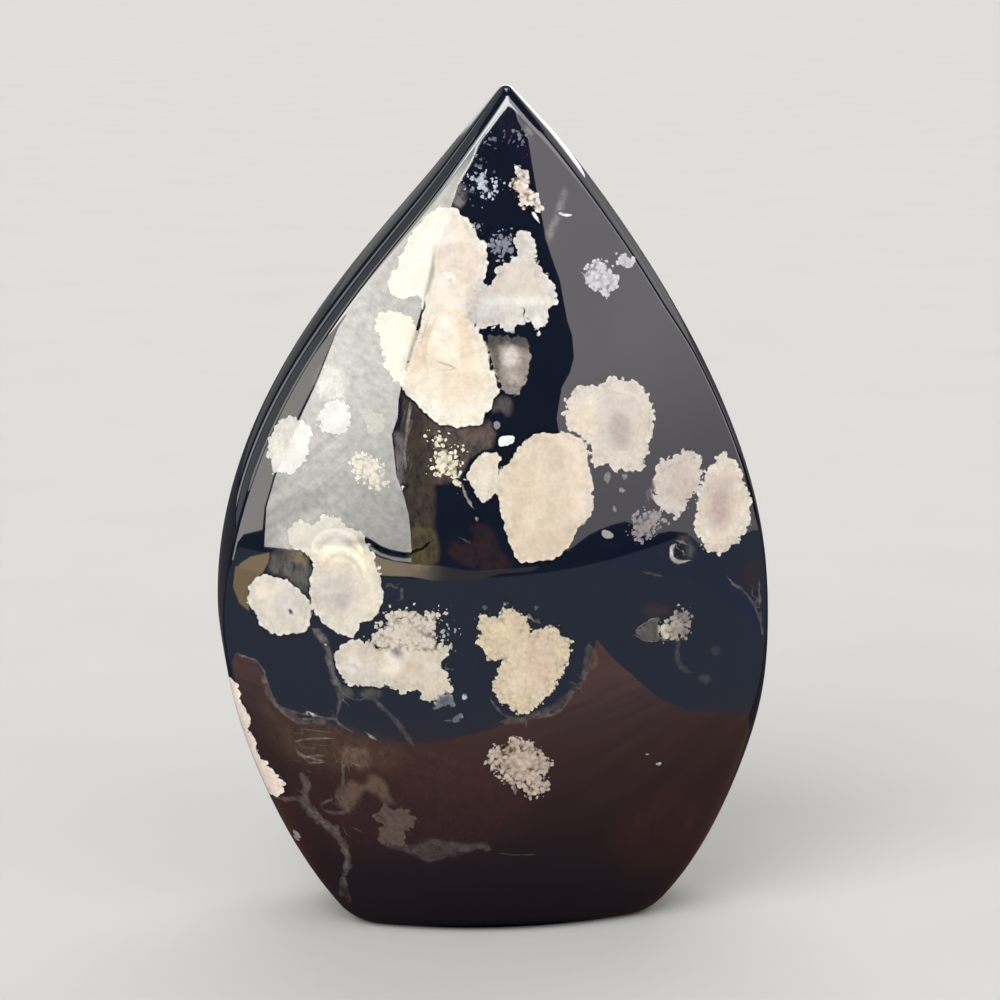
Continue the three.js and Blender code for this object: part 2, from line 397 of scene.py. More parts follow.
# Each blossom, and each painted glint drawn like one: its kind, colour, depth in the stone in
# millimetres, and outline in picture points.
BLOSSOMS_AND_GLINTS = [
    # The tall cream blossom and those that grow together with it
    (SMOOTH, (0.82, 0.755, 0.67), 6, [
        (453, 207), (464, 216), (473, 225), (479, 236), (486, 243), (487, 253), (488, 266), (483, 282),
        (478, 300), (466, 318), (440, 325), (422, 312), (421, 297), (411, 296), (401, 299), (389, 291),
        (389, 280), (396, 266), (403, 250), (413, 231), (428, 214), (440, 207),
    ]),
    (SMOOTH, (0.85, 0.76, 0.625), 6, [
        (446, 270), (462, 276), (470, 296), (472, 318), (475, 327), (480, 334), (486, 344), (490, 359),
        (491, 368), (497, 381), (499, 395), (494, 399), (492, 409), (486, 414), (481, 424), (472, 425),
        (462, 427), (450, 427), (436, 422), (430, 418), (418, 405), (407, 395), (400, 383), (405, 369),
        (412, 351), (418, 334), (425, 303), (430, 282),
    ]),
    (FRILLED, (0.39, 0.36, 0.275), 5, [
        (378, 316), (385, 311), (397, 311), (407, 315), (414, 319), (417, 336), (413, 353), (407, 368),
        (400, 381), (395, 380), (389, 372), (383, 365), (383, 356), (379, 341), (376, 330),
    ]),
    (FRILLED, (0.73, 0.69, 0.64), 5, [
        (513, 237), (519, 231), (527, 231), (533, 237), (536, 246), (537, 252), (534, 257), (541, 264),
        (543, 269), (549, 277), (555, 282), (556, 288), (555, 295), (559, 303), (551, 308), (549, 315),
        (547, 323), (546, 332), (542, 327), (538, 336), (534, 331), (531, 324), (523, 324), (517, 328),
        (515, 334), (509, 333), (503, 328), (500, 325), (492, 327), (485, 330), (478, 328), (470, 322),
        (468, 305), (478, 288), (484, 284), (490, 283), (494, 277), (498, 267), (505, 263), (514, 259),
        (517, 255), (514, 248),
    ]),
    # Grains near the tip
    (CRUMBLED, (0.49, 0.52, 0.60), 4, [
        (474, 171), (483, 172), (487, 177), (495, 181), (501, 183), (500, 188), (495, 194), (490, 197),
        (485, 199), (478, 197), (474, 189), (469, 186), (471, 179),
    ]),
    (GRAINED, (0.78, 0.69, 0.62), 4, [
        (516, 162), (519, 161), (525, 168), (529, 175), (531, 184), (535, 192), (540, 201), (544, 208),
        (541, 211), (534, 209), (528, 207), (521, 207), (519, 200), (518, 194), (514, 190), (510, 186),
        (512, 179), (514, 173),
    ]),
    (CRUMBLED, (0.24, 0.25, 0.32), 4, [
        (490, 236), (498, 233), (507, 233), (514, 238), (515, 247), (512, 255), (503, 258), (494, 256),
        (489, 246),
    ]),
    (CRUMBLED, (0.3, 0.3, 0.34), 3, [
        (471, 222), (477, 221), (482, 228), (481, 236), (476, 233),
    ]),
    (SPOT, (0.30, 0.30, 0.34), 3, [
        (486, 227), (489, 225), (492, 228), (489, 231),
    ]),
    (SPOT, (0.30, 0.30, 0.34), 3, [
        (508, 228), (512, 225), (515, 229), (511, 231),
    ]),
    # Middle
    (HAZY, (0.37, 0.32, 0.285), 3, [
        (488, 338), (496, 335), (506, 336), (515, 338), (522, 336), (528, 338), (530, 347), (530, 360),
        (530, 372), (526, 383), (520, 392), (513, 397), (506, 393), (500, 385), (494, 374), (490, 360),
    ]),
    (SMOOTH, (0.76, 0.685, 0.575), 6, [
        (466, 477), (471, 467), (474, 459), (480, 454), (491, 452), (499, 455), (501, 461), (499, 471),
        (499, 485), (496, 492), (490, 499), (486, 502), (478, 499), (474, 492), (472, 485),
    ]),
    (SMOOTH, (0.715, 0.612, 0.49), 8, [
        (502, 470), (511, 459), (516, 451), (524, 442), (531, 436), (541, 432), (551, 434), (557, 432),
        (565, 431), (572, 434), (580, 438), (586, 445), (588, 455), (589, 465), (592, 475), (594, 484),
        (592, 492), (594, 502), (592, 512), (588, 519), (582, 525), (577, 532), (573, 541), (567, 549),
        (559, 556), (551, 560), (541, 560), (533, 563), (525, 563), (517, 559), (512, 551), (507, 538),
        (504, 524), (500, 513), (498, 498), (497, 487), (499, 479),
    ]),
    (FRILLED, (0.635, 0.575, 0.49), 6, [
        (611, 375), (616, 377), (622, 378), (630, 379), (639, 384), (646, 391), (651, 399), (653, 408),
        (655, 418), (654, 428), (650, 441), (649, 450), (645, 459), (645, 468), (637, 472), (629, 472),
        (622, 469), (613, 471), (607, 464), (600, 465), (593, 466), (591, 457), (590, 447), (586, 440),
        (577, 434), (569, 431), (566, 423), (561, 415), (566, 411), (562, 403), (571, 396), (570, 387),
        (579, 385), (587, 384), (597, 385), (604, 381),
    ]),
    (GRANULAR, (0.80, 0.73, 0.556), 4, [
        (426, 437), (433, 435), (440, 436), (447, 437), (451, 441), (454, 447), (460, 449), (466, 446),
        (463, 451), (457, 455), (460, 459), (460, 467), (460, 473), (462, 480), (462, 487), (457, 486),
        (452, 480), (447, 476), (440, 476), (434, 474), (431, 467), (434, 458), (436, 451), (431, 447),
        (428, 441),
    ]),
    (SOLID, (0.85, 0.85, 0.83), 2, [
        (497, 442), (500, 437), (507, 435), (514, 436), (515, 441), (511, 445), (503, 447), (498, 446),
    ]),
    (SPOT, (0.32, 0.3, 0.31), 2, [
        (493, 425), (497, 421), (501, 425), (497, 430),
    ]),
    (GRAINED, (0.53, 0.53, 0.56), 4, [
        (583, 270), (589, 263), (597, 260), (603, 261), (611, 267), (619, 277), (618, 288), (612, 295),
        (605, 301), (599, 297), (592, 290), (585, 282),
    ]),
    (KNOBBLY, (0.51, 0.51, 0.53), 3, [
        (616, 256), (624, 253), (632, 257), (635, 264), (626, 269), (619, 264),
    ]),
    (SPOT, (0.2, 0.19, 0.19), 2, [
        (604, 479), (606, 472), (611, 472), (610, 481), (606, 484),
    ]),
    (SPOT, (0.2, 0.19, 0.19), 2, [
        (621, 477), (624, 473), (628, 476), (625, 480),
    ]),
    (SPOT, (0.24, 0.23, 0.23), 2, [
        (618, 488), (623, 487), (626, 491), (622, 493),
    ]),
    (SPOT, (0.22, 0.21, 0.21), 2, [
        (612, 506), (615, 505), (619, 511), (617, 515), (613, 512),
    ]),
    (SPOT, (0.42, 0.4, 0.39), 2, [
        (601, 531), (606, 530), (613, 533), (614, 537), (608, 539), (602, 536),
    ]),
    (SPOT, (0.22, 0.21, 0.21), 2, [
        (660, 373), (663, 371), (666, 374), (663, 376),
    ]),
    # Right
    (FEATHERY, (0.59, 0.523, 0.462), 6, [
        (656, 468), (659, 461), (666, 459), (671, 459), (675, 453), (682, 451), (688, 449), (695, 451),
        (700, 457), (702, 464), (703, 478), (698, 490), (695, 499), (689, 504), (685, 510), (681, 516),
        (675, 519), (669, 516), (664, 517), (661, 509), (655, 502), (652, 496), (655, 487), (654, 477),
    ]),
    (FRILLED, (0.72, 0.643, 0.538), 7, [
        (722, 453), (729, 455), (733, 460), (740, 465), (744, 474), (746, 484), (749, 493), (753, 501),
        (751, 510), (752, 519), (748, 530), (741, 536), (738, 543), (731, 545), (724, 553), (716, 554),
        (708, 553), (703, 546), (700, 538), (694, 531), (694, 521), (696, 510), (697, 500), (700, 491),
        (704, 484), (703, 475), (708, 467), (714, 463), (716, 457),
    ]),
    (GRANULAR, (0.28, 0.255, 0.26), 4, [
        (629, 517), (636, 512), (645, 510), (653, 508), (661, 506), (665, 512), (665, 520), (660, 528),
        (653, 535), (647, 541), (640, 541), (634, 540), (630, 539), (631, 533), (634, 527), (631, 522),
    ]),
    (HAZY, (0.07, 0.063, 0.062), 3, [
        (643, 500), (648, 490), (653, 481), (656, 486), (653, 496), (648, 506),
    ]),
    # Left
    (FRILLED, (0.54, 0.52, 0.47), 1.4, [
        (279, 419), (287, 416), (296, 415), (301, 420), (308, 425), (312, 432), (312, 440), (310, 451),
        (306, 460), (299, 469), (292, 473), (284, 474), (278, 471), (273, 474), (271, 466), (268, 458),
        (266, 450), (268, 440), (273, 429),
    ]),
    (FRILLED, (0.30, 0.305, 0.31), 4, [
        (317, 416), (322, 406), (332, 400), (341, 401), (349, 408), (351, 417), (348, 428), (341, 435),
        (331, 435), (322, 430),
    ]),
    (HAZY, (0.145, 0.135, 0.115), 4, [
        (361, 409), (369, 407), (376, 412), (384, 417), (384, 427), (378, 435), (369, 434), (365, 424),
    ]),
    (PITTED, (0.36, 0.32, 0.245), 4, [
        (351, 455), (359, 451), (368, 452), (375, 454), (381, 462), (386, 470), (386, 479), (387, 486),
        (380, 489), (375, 494), (371, 488), (364, 481), (357, 482), (353, 477), (352, 467),
    ]),
    (FRILLED, (0.70, 0.633, 0.525), 5, [
        (286, 537), (288, 529), (295, 523), (303, 521), (310, 526), (318, 522), (322, 516), (329, 514),
        (338, 518), (345, 522), (352, 529), (361, 532), (366, 539), (371, 546), (374, 555), (378, 566),
        (380, 576), (365, 590), (330, 592), (313, 580), (312, 566), (307, 555), (297, 549), (289, 545),
    ]),
    (SMOOTH, (0.69, 0.63, 0.54), 6, [
        (313, 570), (310, 581), (310, 594), (313, 608), (319, 618), (327, 627), (336, 632), (345, 635),
        (351, 637), (357, 632), (361, 623), (370, 621), (377, 616), (381, 608), (383, 598), (382, 588),
        (379, 572), (368, 556), (345, 548), (324, 554),
    ]),
    (SMOOTH, (0.683, 0.635, 0.56), 5, [
        (247, 602), (249, 594), (249, 587), (254, 580), (261, 575), (269, 574), (277, 577), (285, 579),
        (293, 584), (300, 591), (306, 597), (310, 606), (311, 616), (309, 625), (305, 632), (299, 634),
        (290, 634), (282, 635), (274, 634), (265, 630), (259, 623), (256, 614), (252, 608),
    ]),
    (GRANULAR, (0.61, 0.545, 0.455), 6, [
        (366, 644), (370, 636), (377, 630), (381, 622), (386, 614), (395, 609), (403, 611), (411, 607),
        (420, 612), (430, 611), (440, 608), (445, 613), (440, 621), (437, 629), (439, 640), (447, 646),
        (449, 653), (430, 660), (400, 657), (380, 656),
    ]),
    (FRILLED, (0.64, 0.57, 0.465), 6, [
        (366, 650), (385, 641), (410, 641), (435, 640), (449, 653), (445, 662), (446, 671), (450, 680),
        (454, 691), (446, 694), (439, 697), (430, 703), (423, 698), (417, 691), (408, 692), (400, 694),
        (393, 688), (384, 686), (374, 672), (366, 658),
    ]),
    (FRILLED, (0.655, 0.59, 0.51), 6, [
        (374, 642), (366, 644), (359, 640), (351, 640), (342, 644), (337, 651), (334, 660), (337, 670),
        (342, 677), (346, 683), (354, 685), (364, 687), (374, 686), (386, 686), (390, 664),
    ]),
    (CRUMBLED, (0.36, 0.36, 0.36), 3, [
        (442, 632), (447, 629), (451, 633), (450, 638), (444, 637),
    ]),
    (HAZY, (0.16, 0.165, 0.18), 3, [
        (434, 706), (440, 697), (444, 692), (450, 694), (453, 700), (456, 706), (450, 707), (443, 706),
        (437, 711),
    ]),
    (HAZY, (0.12, 0.12, 0.13), 3, [
        (442, 722), (449, 718), (456, 717), (460, 713), (465, 718), (460, 722), (452, 724),
    ]),
    (SPOT, (0.5, 0.5, 0.53), 2, oval(464.5, 697, 3, 3.6)),
    (SPOT, (0.55, 0.55, 0.58), 2, oval(462.5, 717.6, 2.6, 2.8)),
    (KNOBBLY, (0.65, 0.547, 0.395), 7, [
        (477, 620), (479, 614), (489, 615), (499, 615), (501, 608), (507, 607), (513, 608), (518, 611),
        (522, 615), (528, 614), (528, 624), (530, 630), (537, 630), (545, 626), (551, 626), (558, 625),
        (560, 631), (566, 637), (572, 641), (570, 648), (571, 655), (567, 665), (563, 675), (557, 682),
        (554, 690), (548, 696), (542, 703), (536, 706), (533, 711), (527, 712), (522, 715), (514, 713),
        (509, 708), (507, 703), (502, 704), (496, 698), (493, 689), (493, 681), (496, 674), (498, 668),
        (499, 661), (488, 660), (485, 653), (479, 648), (475, 642), (478, 635), (477, 628),
    ]),
    (SPOT, (0.2, 0.19, 0.18), 2, [
        (503, 602), (506, 599), (509, 602), (506, 605),
    ]),
    (SPOT, (0.13, 0.13, 0.135), 2, [
        (534, 608), (536, 605), (539, 608), (536, 611),
    ]),
    (PITTED, (0.47, 0.39, 0.33), 5, [
        (487, 756), (491, 748), (499, 745), (507, 742), (511, 736), (517, 737), (524, 740), (531, 739),
        (536, 746), (545, 751), (549, 758), (552, 766), (548, 772), (541, 778), (548, 782), (551, 788),
        (545, 790), (540, 796), (533, 799), (527, 796), (523, 790), (515, 787), (509, 787), (502, 782),
        (498, 775), (490, 769), (486, 763),
    ]),
    (SPOT, (0.16, 0.15, 0.14), 2, [
        (512, 790), (515, 786), (519, 790), (517, 796), (513, 795),
    ]),
    # Misty patches near the foot
    (MISTY, (0.118, 0.085, 0.076), 2, [
        (371, 813), (380, 810), (386, 803), (393, 810), (403, 808), (409, 813), (416, 819), (413, 828),
        (406, 834), (406, 843), (408, 848), (399, 848), (390, 844), (381, 843), (378, 833), (380, 823),
        (373, 818),
    ]),
    # The shell and grains in the blue field
    (HAZY, (0.11, 0.097, 0.083), 3, [
        (632, 631), (638, 631), (643, 626), (649, 620), (656, 617), (661, 619), (660, 627), (661, 636),
        (659, 642), (653, 643), (646, 641), (640, 637), (635, 634),
    ]),
    (GRANULAR, (0.345, 0.303, 0.262), 4, [
        (661, 620), (667, 618), (671, 615), (673, 610), (680, 609), (688, 609), (690, 615), (692, 622),
        (690, 629), (685, 635), (680, 641), (674, 640), (668, 643), (661, 641), (659, 633),
    ]),
    # The strip on the lower left edge
    (SMOOTH, (0.84, 0.735, 0.645), 8, [
        (228, 676), (235, 682), (239, 690), (241, 700), (246, 709), (250, 717), (249, 728), (241, 731),
        (228, 710), (221, 690),
    ]),
    (FRILLED, (0.86, 0.742, 0.654), 7, [
        (242, 731), (252, 734), (256, 739), (258, 750), (262, 758), (268, 762), (274, 771), (280, 775),
        (284, 782), (286, 788), (283, 794), (274, 795), (257, 790), (246, 768), (238, 748),
    ]),
    (HAZY, (0.3, 0.26, 0.27), 6, [
        (289, 826), (294, 828), (299, 834), (302, 840), (298, 840), (292, 833),
    ]),
    # Specks and small bits, and painted glints
    (CRUMBLED, (0.07, 0.07, 0.11), 2, oval(505, 139, 7, 2.2, -8)),
    (CRUMBLED, (0.06, 0.06, 0.10), 2, oval(492, 140, 4, 2.2, 30)),
    (CRUMBLED, (0.15, 0.145, 0.19), 2, oval(521, 136, 4.5, 3.2, 20)),
    (CRUMBLED, (0.12, 0.115, 0.15), 2, oval(527, 145, 2.4, 3)),
    (CRUMBLED, (0.055, 0.055, 0.10), 2, oval(479, 162, 5, 2.6, 30)),
    (SPOT, (0.09, 0.09, 0.14), 1.4, oval(494, 172, 1.6, 2)),
    (CRUMBLED, (0.09, 0.09, 0.14), 2, oval(471, 193, 2.6, 5)),
    (SPOT, (0.12, 0.11, 0.12), 2, oval(451, 668, 3.6, 3)),
    (SPOT, (0.10, 0.10, 0.10), 2, oval(485, 608, 3.5, 3)),
    (SPOT, (0.10, 0.09, 0.09), 2, oval(537, 621, 3.5, 2.6)),
    (SPOT, (0.24, 0.20, 0.17), 2, oval(531, 617, 3, 2.4)),
    (SPOT, (0.30, 0.30, 0.29), 2, oval(477, 519, 3.2, 4.2)),
    # A painted glint
    (SOLID, (0.80, 0.80, 0.78), 2, oval(403, 487, 3.4, 1.7, -25)),
    (SOLID, (0.62, 0.60, 0.56), 2, oval(402, 488, 2, 2)),
    # Two painted glints
    (SPOT, (0.60, 0.58, 0.54), 2, oval(326, 645, 2.2, 1.6)),
    (SPOT, (0.40, 0.38, 0.35), 2, oval(328, 655, 1.6, 2)),
    # In the small pit: a dim spot and two painted glints
    (SPOT, (0.16, 0.15, 0.15), 2, oval(677, 556, 1.4, 1)),
    (SPOT, (0.40, 0.39, 0.38), 2, oval(684, 554, 1.8, 2.2)),
    (SPOT, (0.50, 0.49, 0.48), 2, oval(679.5, 546, 1.2, 1.6)),
    # Two painted glints
    (SPOT, (0.42, 0.42, 0.46), 2, oval(647, 754, 2.2, 1.8)),
    (SPOT, (0.45, 0.45, 0.48), 2, oval(659, 764, 3.4, 2.2, -15)),
    # Two painted glints, bright streaks
    (SOLID, (0.85, 0.84, 0.81), 2, [
        (530.5, 212), (534, 212), (540.5, 221.5), (539.5, 224.5), (535, 219),
    ]),
    (SOLID, (0.78, 0.78, 0.77), 2, [
        (558, 213), (564, 212.5), (572, 215), (570, 217), (563, 216),
    ]),
]

# Soft patches inside blossoms, among them painted shade and a painted highlight: times how much red,
# green and blue, softness in mm and outline.
TONES = [
    # Painted shade: where a pale reflection lies over the blossoms, these three make their colour
    # darker, so that their own colour hardly shows
    ((0.46, 0.50, 0.49), 0.25, [(459, 183), (453, 202), (436, 245), (434, 275), (423, 305), (418, 312),
                                (404, 311), (385, 308), (380, 290), (400, 220), (430, 190)]),
    ((0.50, 0.50, 0.52), 0.35, [(265, 547), (300, 549), (330, 547), (363, 545), (385, 550), (385, 505),
                                (330, 495), (270, 505)]),
    ((0.72, 0.75, 0.78), 0.30, [(303, 414), (316, 432), (312, 455), (296, 474), (279, 476)]),
    # Browner patches near the tip
    ((0.60, 0.45, 0.36), 0.18, oval(527, 194, 4, 3, 30)),
    ((0.60, 0.48, 0.40), 0.18, oval(514, 187, 2.5, 3)),
    # The tall blossom
    ((0.93, 0.88, 0.87), 0.15, [(438, 250), (449, 244), (471, 242), (477, 249), (479, 264), (473, 281),
                                (461, 285), (454, 275), (444, 272), (436, 270)]),
    # A painted highlight streak, and under it a painted shadow
    ((1.08, 1.12, 1.16), 0.15, oval(450, 276, 7, 2.5, 30)),
    ((0.80, 0.78, 0.78), 0.12, oval(451, 281, 3.5, 1.4, 30)),
    ((0.85, 0.85, 0.86), 0.20, oval(467, 303, 2.5, 2.5)),
    ((1.03, 1.06, 1.10), 0.20, [(436, 318), (452, 316), (459, 325), (461, 343), (458, 361), (438, 359),
                                (433, 345)]),
    ((0.94, 0.89, 0.84), 0.18, [(461, 317), (468, 325), (473, 343), (471, 361), (461, 365), (459, 345),
                                (458, 328)]),
    ((0.93, 0.88, 0.88), 0.30, [(411, 367), (421, 332), (430, 328), (429, 345), (424, 366), (414, 374)]),
    ((0.94, 0.90, 0.86), 0.20, [(463, 374), (471, 378), (471, 393), (463, 396)]),
    ((0.95, 0.92, 0.90), 0.20, [(440, 374), (452, 375), (450, 383), (441, 384)]),
    ((1.03, 1.08, 1.13), 0.50, [(410, 392), (440, 402), (470, 405), (492, 392), (490, 415), (465, 426),
                                (440, 424), (420, 412)]),
    ((0.70, 0.72, 0.70), 0.15, oval(468, 315.5, 5, 2.6, -15)),
    # The white one beside it
    ((0.96, 0.92, 0.90), 0.60, [(500, 264), (520, 257), (535, 262), (545, 282), (538, 296), (500, 297),
                                (492, 285)]),
    ((1.10, 1.13, 1.14), 0.30, [(484, 298), (512, 296), (546, 297), (547, 305), (515, 305), (484, 307)]),
    ((0.87, 0.86, 0.89), 0.70, [(468, 288), (492, 286), (505, 308), (500, 325), (470, 325)]),
    ((0.90, 0.90, 0.93), 0.50, oval(522, 246, 7, 9)),
    ((1.15, 1.20, 1.25), 0.25, [(531, 320), (541, 319), (538, 334), (534, 327)]),
    # The big cream one
    ((1.06, 1.06, 1.04), 0.25, [(528, 480), (540, 466), (547, 468), (545, 484), (532, 490)]),
    ((0.93, 0.91, 0.91), 0.30, [(533, 534), (560, 529), (576, 524), (571, 543), (552, 548), (535, 545)]),
    ((0.94, 0.92, 0.90), 0.25, [(512, 495), (522, 500), (522, 528), (512, 525)]),
    ((1.06, 1.05, 1.03), 0.20, [(527, 508), (533, 509), (533, 530), (528, 527)]),
    ((0.93, 0.93, 0.94), 0.25, [(548, 448), (572, 450), (571, 470), (552, 472)]),
    ((1.12, 1.12, 1.12), 0.30, oval(547, 433, 7, 4)),
    # The frosted ones on the right
    ((1.08, 1.05, 1.00), 0.70, [(566, 425), (574, 410), (590, 400), (597, 430), (596, 462), (590, 464),
                                (588, 445)]),
    ((0.88, 0.87, 0.90), 0.90, oval(618, 424, 23, 31)),
    ((0.74, 0.71, 0.73), 0.70, oval(620, 430, 11, 18, -5)),
    ((0.78, 0.73, 0.76), 1.00, oval(720, 502, 17, 29, 8)),
    ((0.80, 0.75, 0.78), 0.60, oval(720, 506, 9, 17, 12)),
    ((1.18, 1.20, 1.20), 0.15, [(711, 516), (722, 506), (736, 494), (737, 497), (724, 509), (713, 519)]),
    ((0.92, 0.89, 0.90), 0.60, oval(678, 488, 13, 14)),
    # The frosted ones on the left
    ((1.14, 1.14, 1.13), 0.50, oval(277, 447, 9, 17)),
    ((1.18, 1.20, 1.18), 0.30, [(318, 549), (345, 543), (365, 550), (376, 572), (371, 590), (360, 575),
                                (345, 562), (322, 562)]),
    ((0.88, 0.89, 0.95), 0.60, oval(335, 594, 19, 20)),
    ((0.82, 0.81, 0.84), 0.40, oval(343, 600, 8, 9)),
    ((1.10, 1.10, 1.06), 0.50, [(368, 590), (380, 592), (379, 608), (368, 612), (362, 600)]),
    ((1.12, 1.12, 1.08), 0.50, oval(262, 590, 9, 10)),
    ((0.93, 0.93, 0.97), 0.60, oval(290, 608, 15, 15)),
    # The granular one in the middle
    ((1.12, 1.16, 1.22), 0.35, oval(397, 654, 13, 12)),
    ((0.78, 0.77, 0.80), 0.20, oval(397, 653, 7.5, 7)),
    ((0.32, 0.32, 0.34), 0.18, oval(397, 653, 4.8, 4)),
    ((1.22, 1.22, 1.22), 0.35, oval(391, 670, 10, 6)),
    ((0.92, 0.88, 0.84), 0.40, oval(414, 667, 12, 8, 20)),
    ((1.08, 1.12, 1.16), 0.30, oval(354, 664, 8, 8)),
    ((0.72, 0.72, 0.72), 0.20, oval(354, 666, 3, 3)),
    # The cauliflower and the grains
    ((0.97, 0.91, 0.96), 0.50, [(527, 638), (547, 636), (556, 655), (547, 690), (530, 690)]),
    ((1.04, 1.05, 1.02), 0.40, oval(501, 634, 14, 9)),
    ((0.30, 0.32, 0.34), 0.20, [(486, 333), (532, 333), (531, 345), (520, 347), (510, 343), (500, 346),
                                (489, 350)]),
    ((1.75, 1.80, 1.65), 0.25, [(661, 622), (667, 620), (668, 632), (672, 641), (667, 644), (661, 636)]),
    ((0.72, 0.72, 0.76), 0.30, [(674, 610), (690, 610), (693, 625), (684, 624), (676, 618)]),
    ((0.75, 0.75, 0.75), 0.30, oval(684, 633, 6, 6)),
    ((2.10, 2.20, 2.30), 0.70, oval(511, 358, 9, 11)),
    ((1.45, 1.42, 1.40), 0.50, oval(514, 377, 9, 8)),
    ((0.62, 0.58, 0.55), 0.20, [(492, 352), (499, 350), (500, 370), (504, 384), (499, 380), (493, 366)]),
    ((1.6, 1.6, 1.6), 0.20, oval(462, 717, 3, 3)),
]

# Small dark dots in blossoms: middle, half sizes and lean.
DOTS = [
    (291, 612, 2.2, 4.2, -20),
    (511, 750, 1.8, 4, 10),
    (391, 814, 2.2, 2.2, 0),
    (476, 629, 1.6, 1.8, 0),
    (516, 548, 1.3, 1.6, 0),
    (539, 557, 2.0, 1.2, 30),
    (488, 492, 1.1, 2.0, -20),
    (436, 474, 3.2, 1.8, 15),
    (448, 465, 1.8, 1.4, 20),
    (456, 455, 2.6, 1.2, -15),
    (526, 193, 1.8, 1.4, 0),
    (524, 196, 1.6, 1.4, 0),
]

# Stains in the dark body, and the painted shade in a small pit's hollow: colour, strength, softness in
# millimetres and outline.
STAINS_AND_PAINTED_SHADE = [
    ((0.028, 0.0125, 0.0155), 0.8, 3.5, oval(410, 800, 120, 55)),
    ((0.062, 0.041, 0.029), 0.65, 2.0, [(262, 700), (290, 722), (330, 724), (378, 742), (400, 752),
                                        (384, 768), (330, 765), (292, 758), (272, 730)]),
    ((0.028, 0.0125, 0.0130), 0.8, 3.0, oval(660, 830, 50, 35, -35)),
    ((0.60, 0.58, 0.53), 0.40, 1.0, oval(331, 384, 15, 18)),
    ((0.34, 0.31, 0.28), 0.55, 1.0, oval(300, 534, 24, 16)),
    ((0.20, 0.18, 0.19), 0.80, 0.3, [(455, 190), (460, 184), (466, 188), (466, 200), (460, 208),
                                     (454, 204)]),
    ((0.014, 0.012, 0.026), 0.8, 0.6, [(497, 120), (508, 111), (515, 118), (518, 133), (508, 137),
                                       (497, 132)]),
    ((0.26, 0.25, 0.26), 0.6, 0.4, oval(529, 131, 5, 2.6, 50)),
    ((0.17, 0.165, 0.17), 0.75, 0.35, [(564, 188), (567, 192), (564, 204), (562, 214), (557, 226),
                                       (553, 237), (548, 241), (545, 234), (549, 225), (555, 214),
                                       (558, 203)]),
    ((0.012, 0.009, 0.028), 0.8, 0.8, [(515, 138), (526, 142), (529, 165), (520, 160), (512, 150)]),
    ((0.10, 0.09, 0.09), 0.75, 0.35, [(493, 401), (502, 396), (511, 400), (512, 411), (507, 416),
                                      (500, 410), (493, 413)]),
    ((0.13, 0.098, 0.085), 0.85, 0.35, [(423, 414), (450, 422), (480, 418), (495, 428), (493, 446),
                                        (487, 450), (476, 455), (469, 459), (463, 471), (456, 480),
                                        (431, 482), (424, 450)]),
    ((0.062, 0.047, 0.036), 0.85, 0.4, [(403, 392), (418, 402), (430, 418), (433, 450), (435, 500),
                                        (434, 545), (428, 568), (412, 565), (410, 520), (404, 495),
                                        (399, 470), (397, 440), (402, 418)]),
    ((0.17, 0.155, 0.155), 0.75, 0.25, [(394, 434), (401, 433), (405, 445), (403, 470), (403, 489),
                                        (397, 484), (394, 460)]),
    ((0.029, 0.017, 0.020), 0.85, 0.5, [(470, 527), (484, 524), (494, 532), (500, 550), (512, 564),
                                        (500, 570), (470, 567), (450, 556), (452, 541), (466, 545),
                                        (474, 538)]),
    ((0.030, 0.010, 0.009), 0.7, 0.7, oval(751, 575, 7, 15)),
    ((0.008, 0.012, 0.040), 0.8, 0.5, [(728, 583), (745, 583), (752, 600), (752, 625), (742, 618),
                                       (733, 600)]),
    ((0.040, 0.018, 0.018), 0.8, 0.6, oval(656, 611, 13, 7)),
    ((0.13, 0.115, 0.10), 0.80, 0.5, [(270, 556), (288, 549), (306, 560), (312, 580), (304, 594),
                                      (286, 578), (272, 573)]),
    ((0.22, 0.17, 0.10), 0.65, 0.5, oval(300, 557, 10, 8)),
    ((0.092, 0.075, 0.038), 0.85, 0.4, [(411, 528), (424, 526), (436, 534), (437, 562), (411, 563)]),
    ((0.05, 0.015, 0.013), 0.6, 1.6, [(248, 735), (262, 765), (282, 800), (300, 835), (312, 862),
                                       (296, 850), (276, 812), (256, 778), (244, 750)]),
    ((0.075, 0.075, 0.075), 0.6, 0.3, oval(705, 679, 6, 4)),
    ((0.060, 0.060, 0.062), 0.6, 0.3, oval(716, 650, 5, 5)),
    ((0.13, 0.11, 0.09), 0.6, 0.35, oval(345, 692, 9, 5, 20)),
    ((0.12, 0.105, 0.09), 0.6, 0.35, oval(371, 694, 11, 5, -5)),
    ((0.100, 0.070, 0.058), 0.95, 0.4, [(338, 804), (340, 789), (350, 781), (364, 784), (372, 775),
                                        (384, 781), (390, 794), (393, 803), (384, 803), (376, 795),
                                        (366, 791), (360, 797), (354, 806), (349, 813), (343, 808)]),
    ((0.110, 0.078, 0.056), 0.95, 0.4, [(342, 750), (350, 746), (358, 749), (367, 749), (368, 766),
                                        (359, 769), (352, 764), (345, 767)]),
    ((0.056, 0.042, 0.043), 0.95, 0.5, [(398, 846), (412, 846), (428, 840), (448, 842), (470, 847),
                                        (454, 856), (438, 858), (428, 862), (417, 856)]),
    ((0.004, 0.007, 0.023), 0.70, 0.6, [(600, 562), (618, 548), (640, 538), (660, 538), (690, 545),
                                        (712, 556), (735, 575), (748, 588), (760, 606), (766, 640),
                                        (754, 626), (737, 611), (724, 598), (710, 587), (690, 579),
                                        (650, 571)]),
    ((0.095, 0.085, 0.08), 0.8, 0.3, oval(689, 551, 5, 8, 10)),
    ((0.055, 0.05, 0.055), 0.8, 0.4, oval(684, 538, 6, 4)),
    # Painted shade in the small pit's hollow
    ((0.003, 0.003, 0.004), 0.9, 0.25, oval(681.5, 551.5, 6, 7.5)),
]
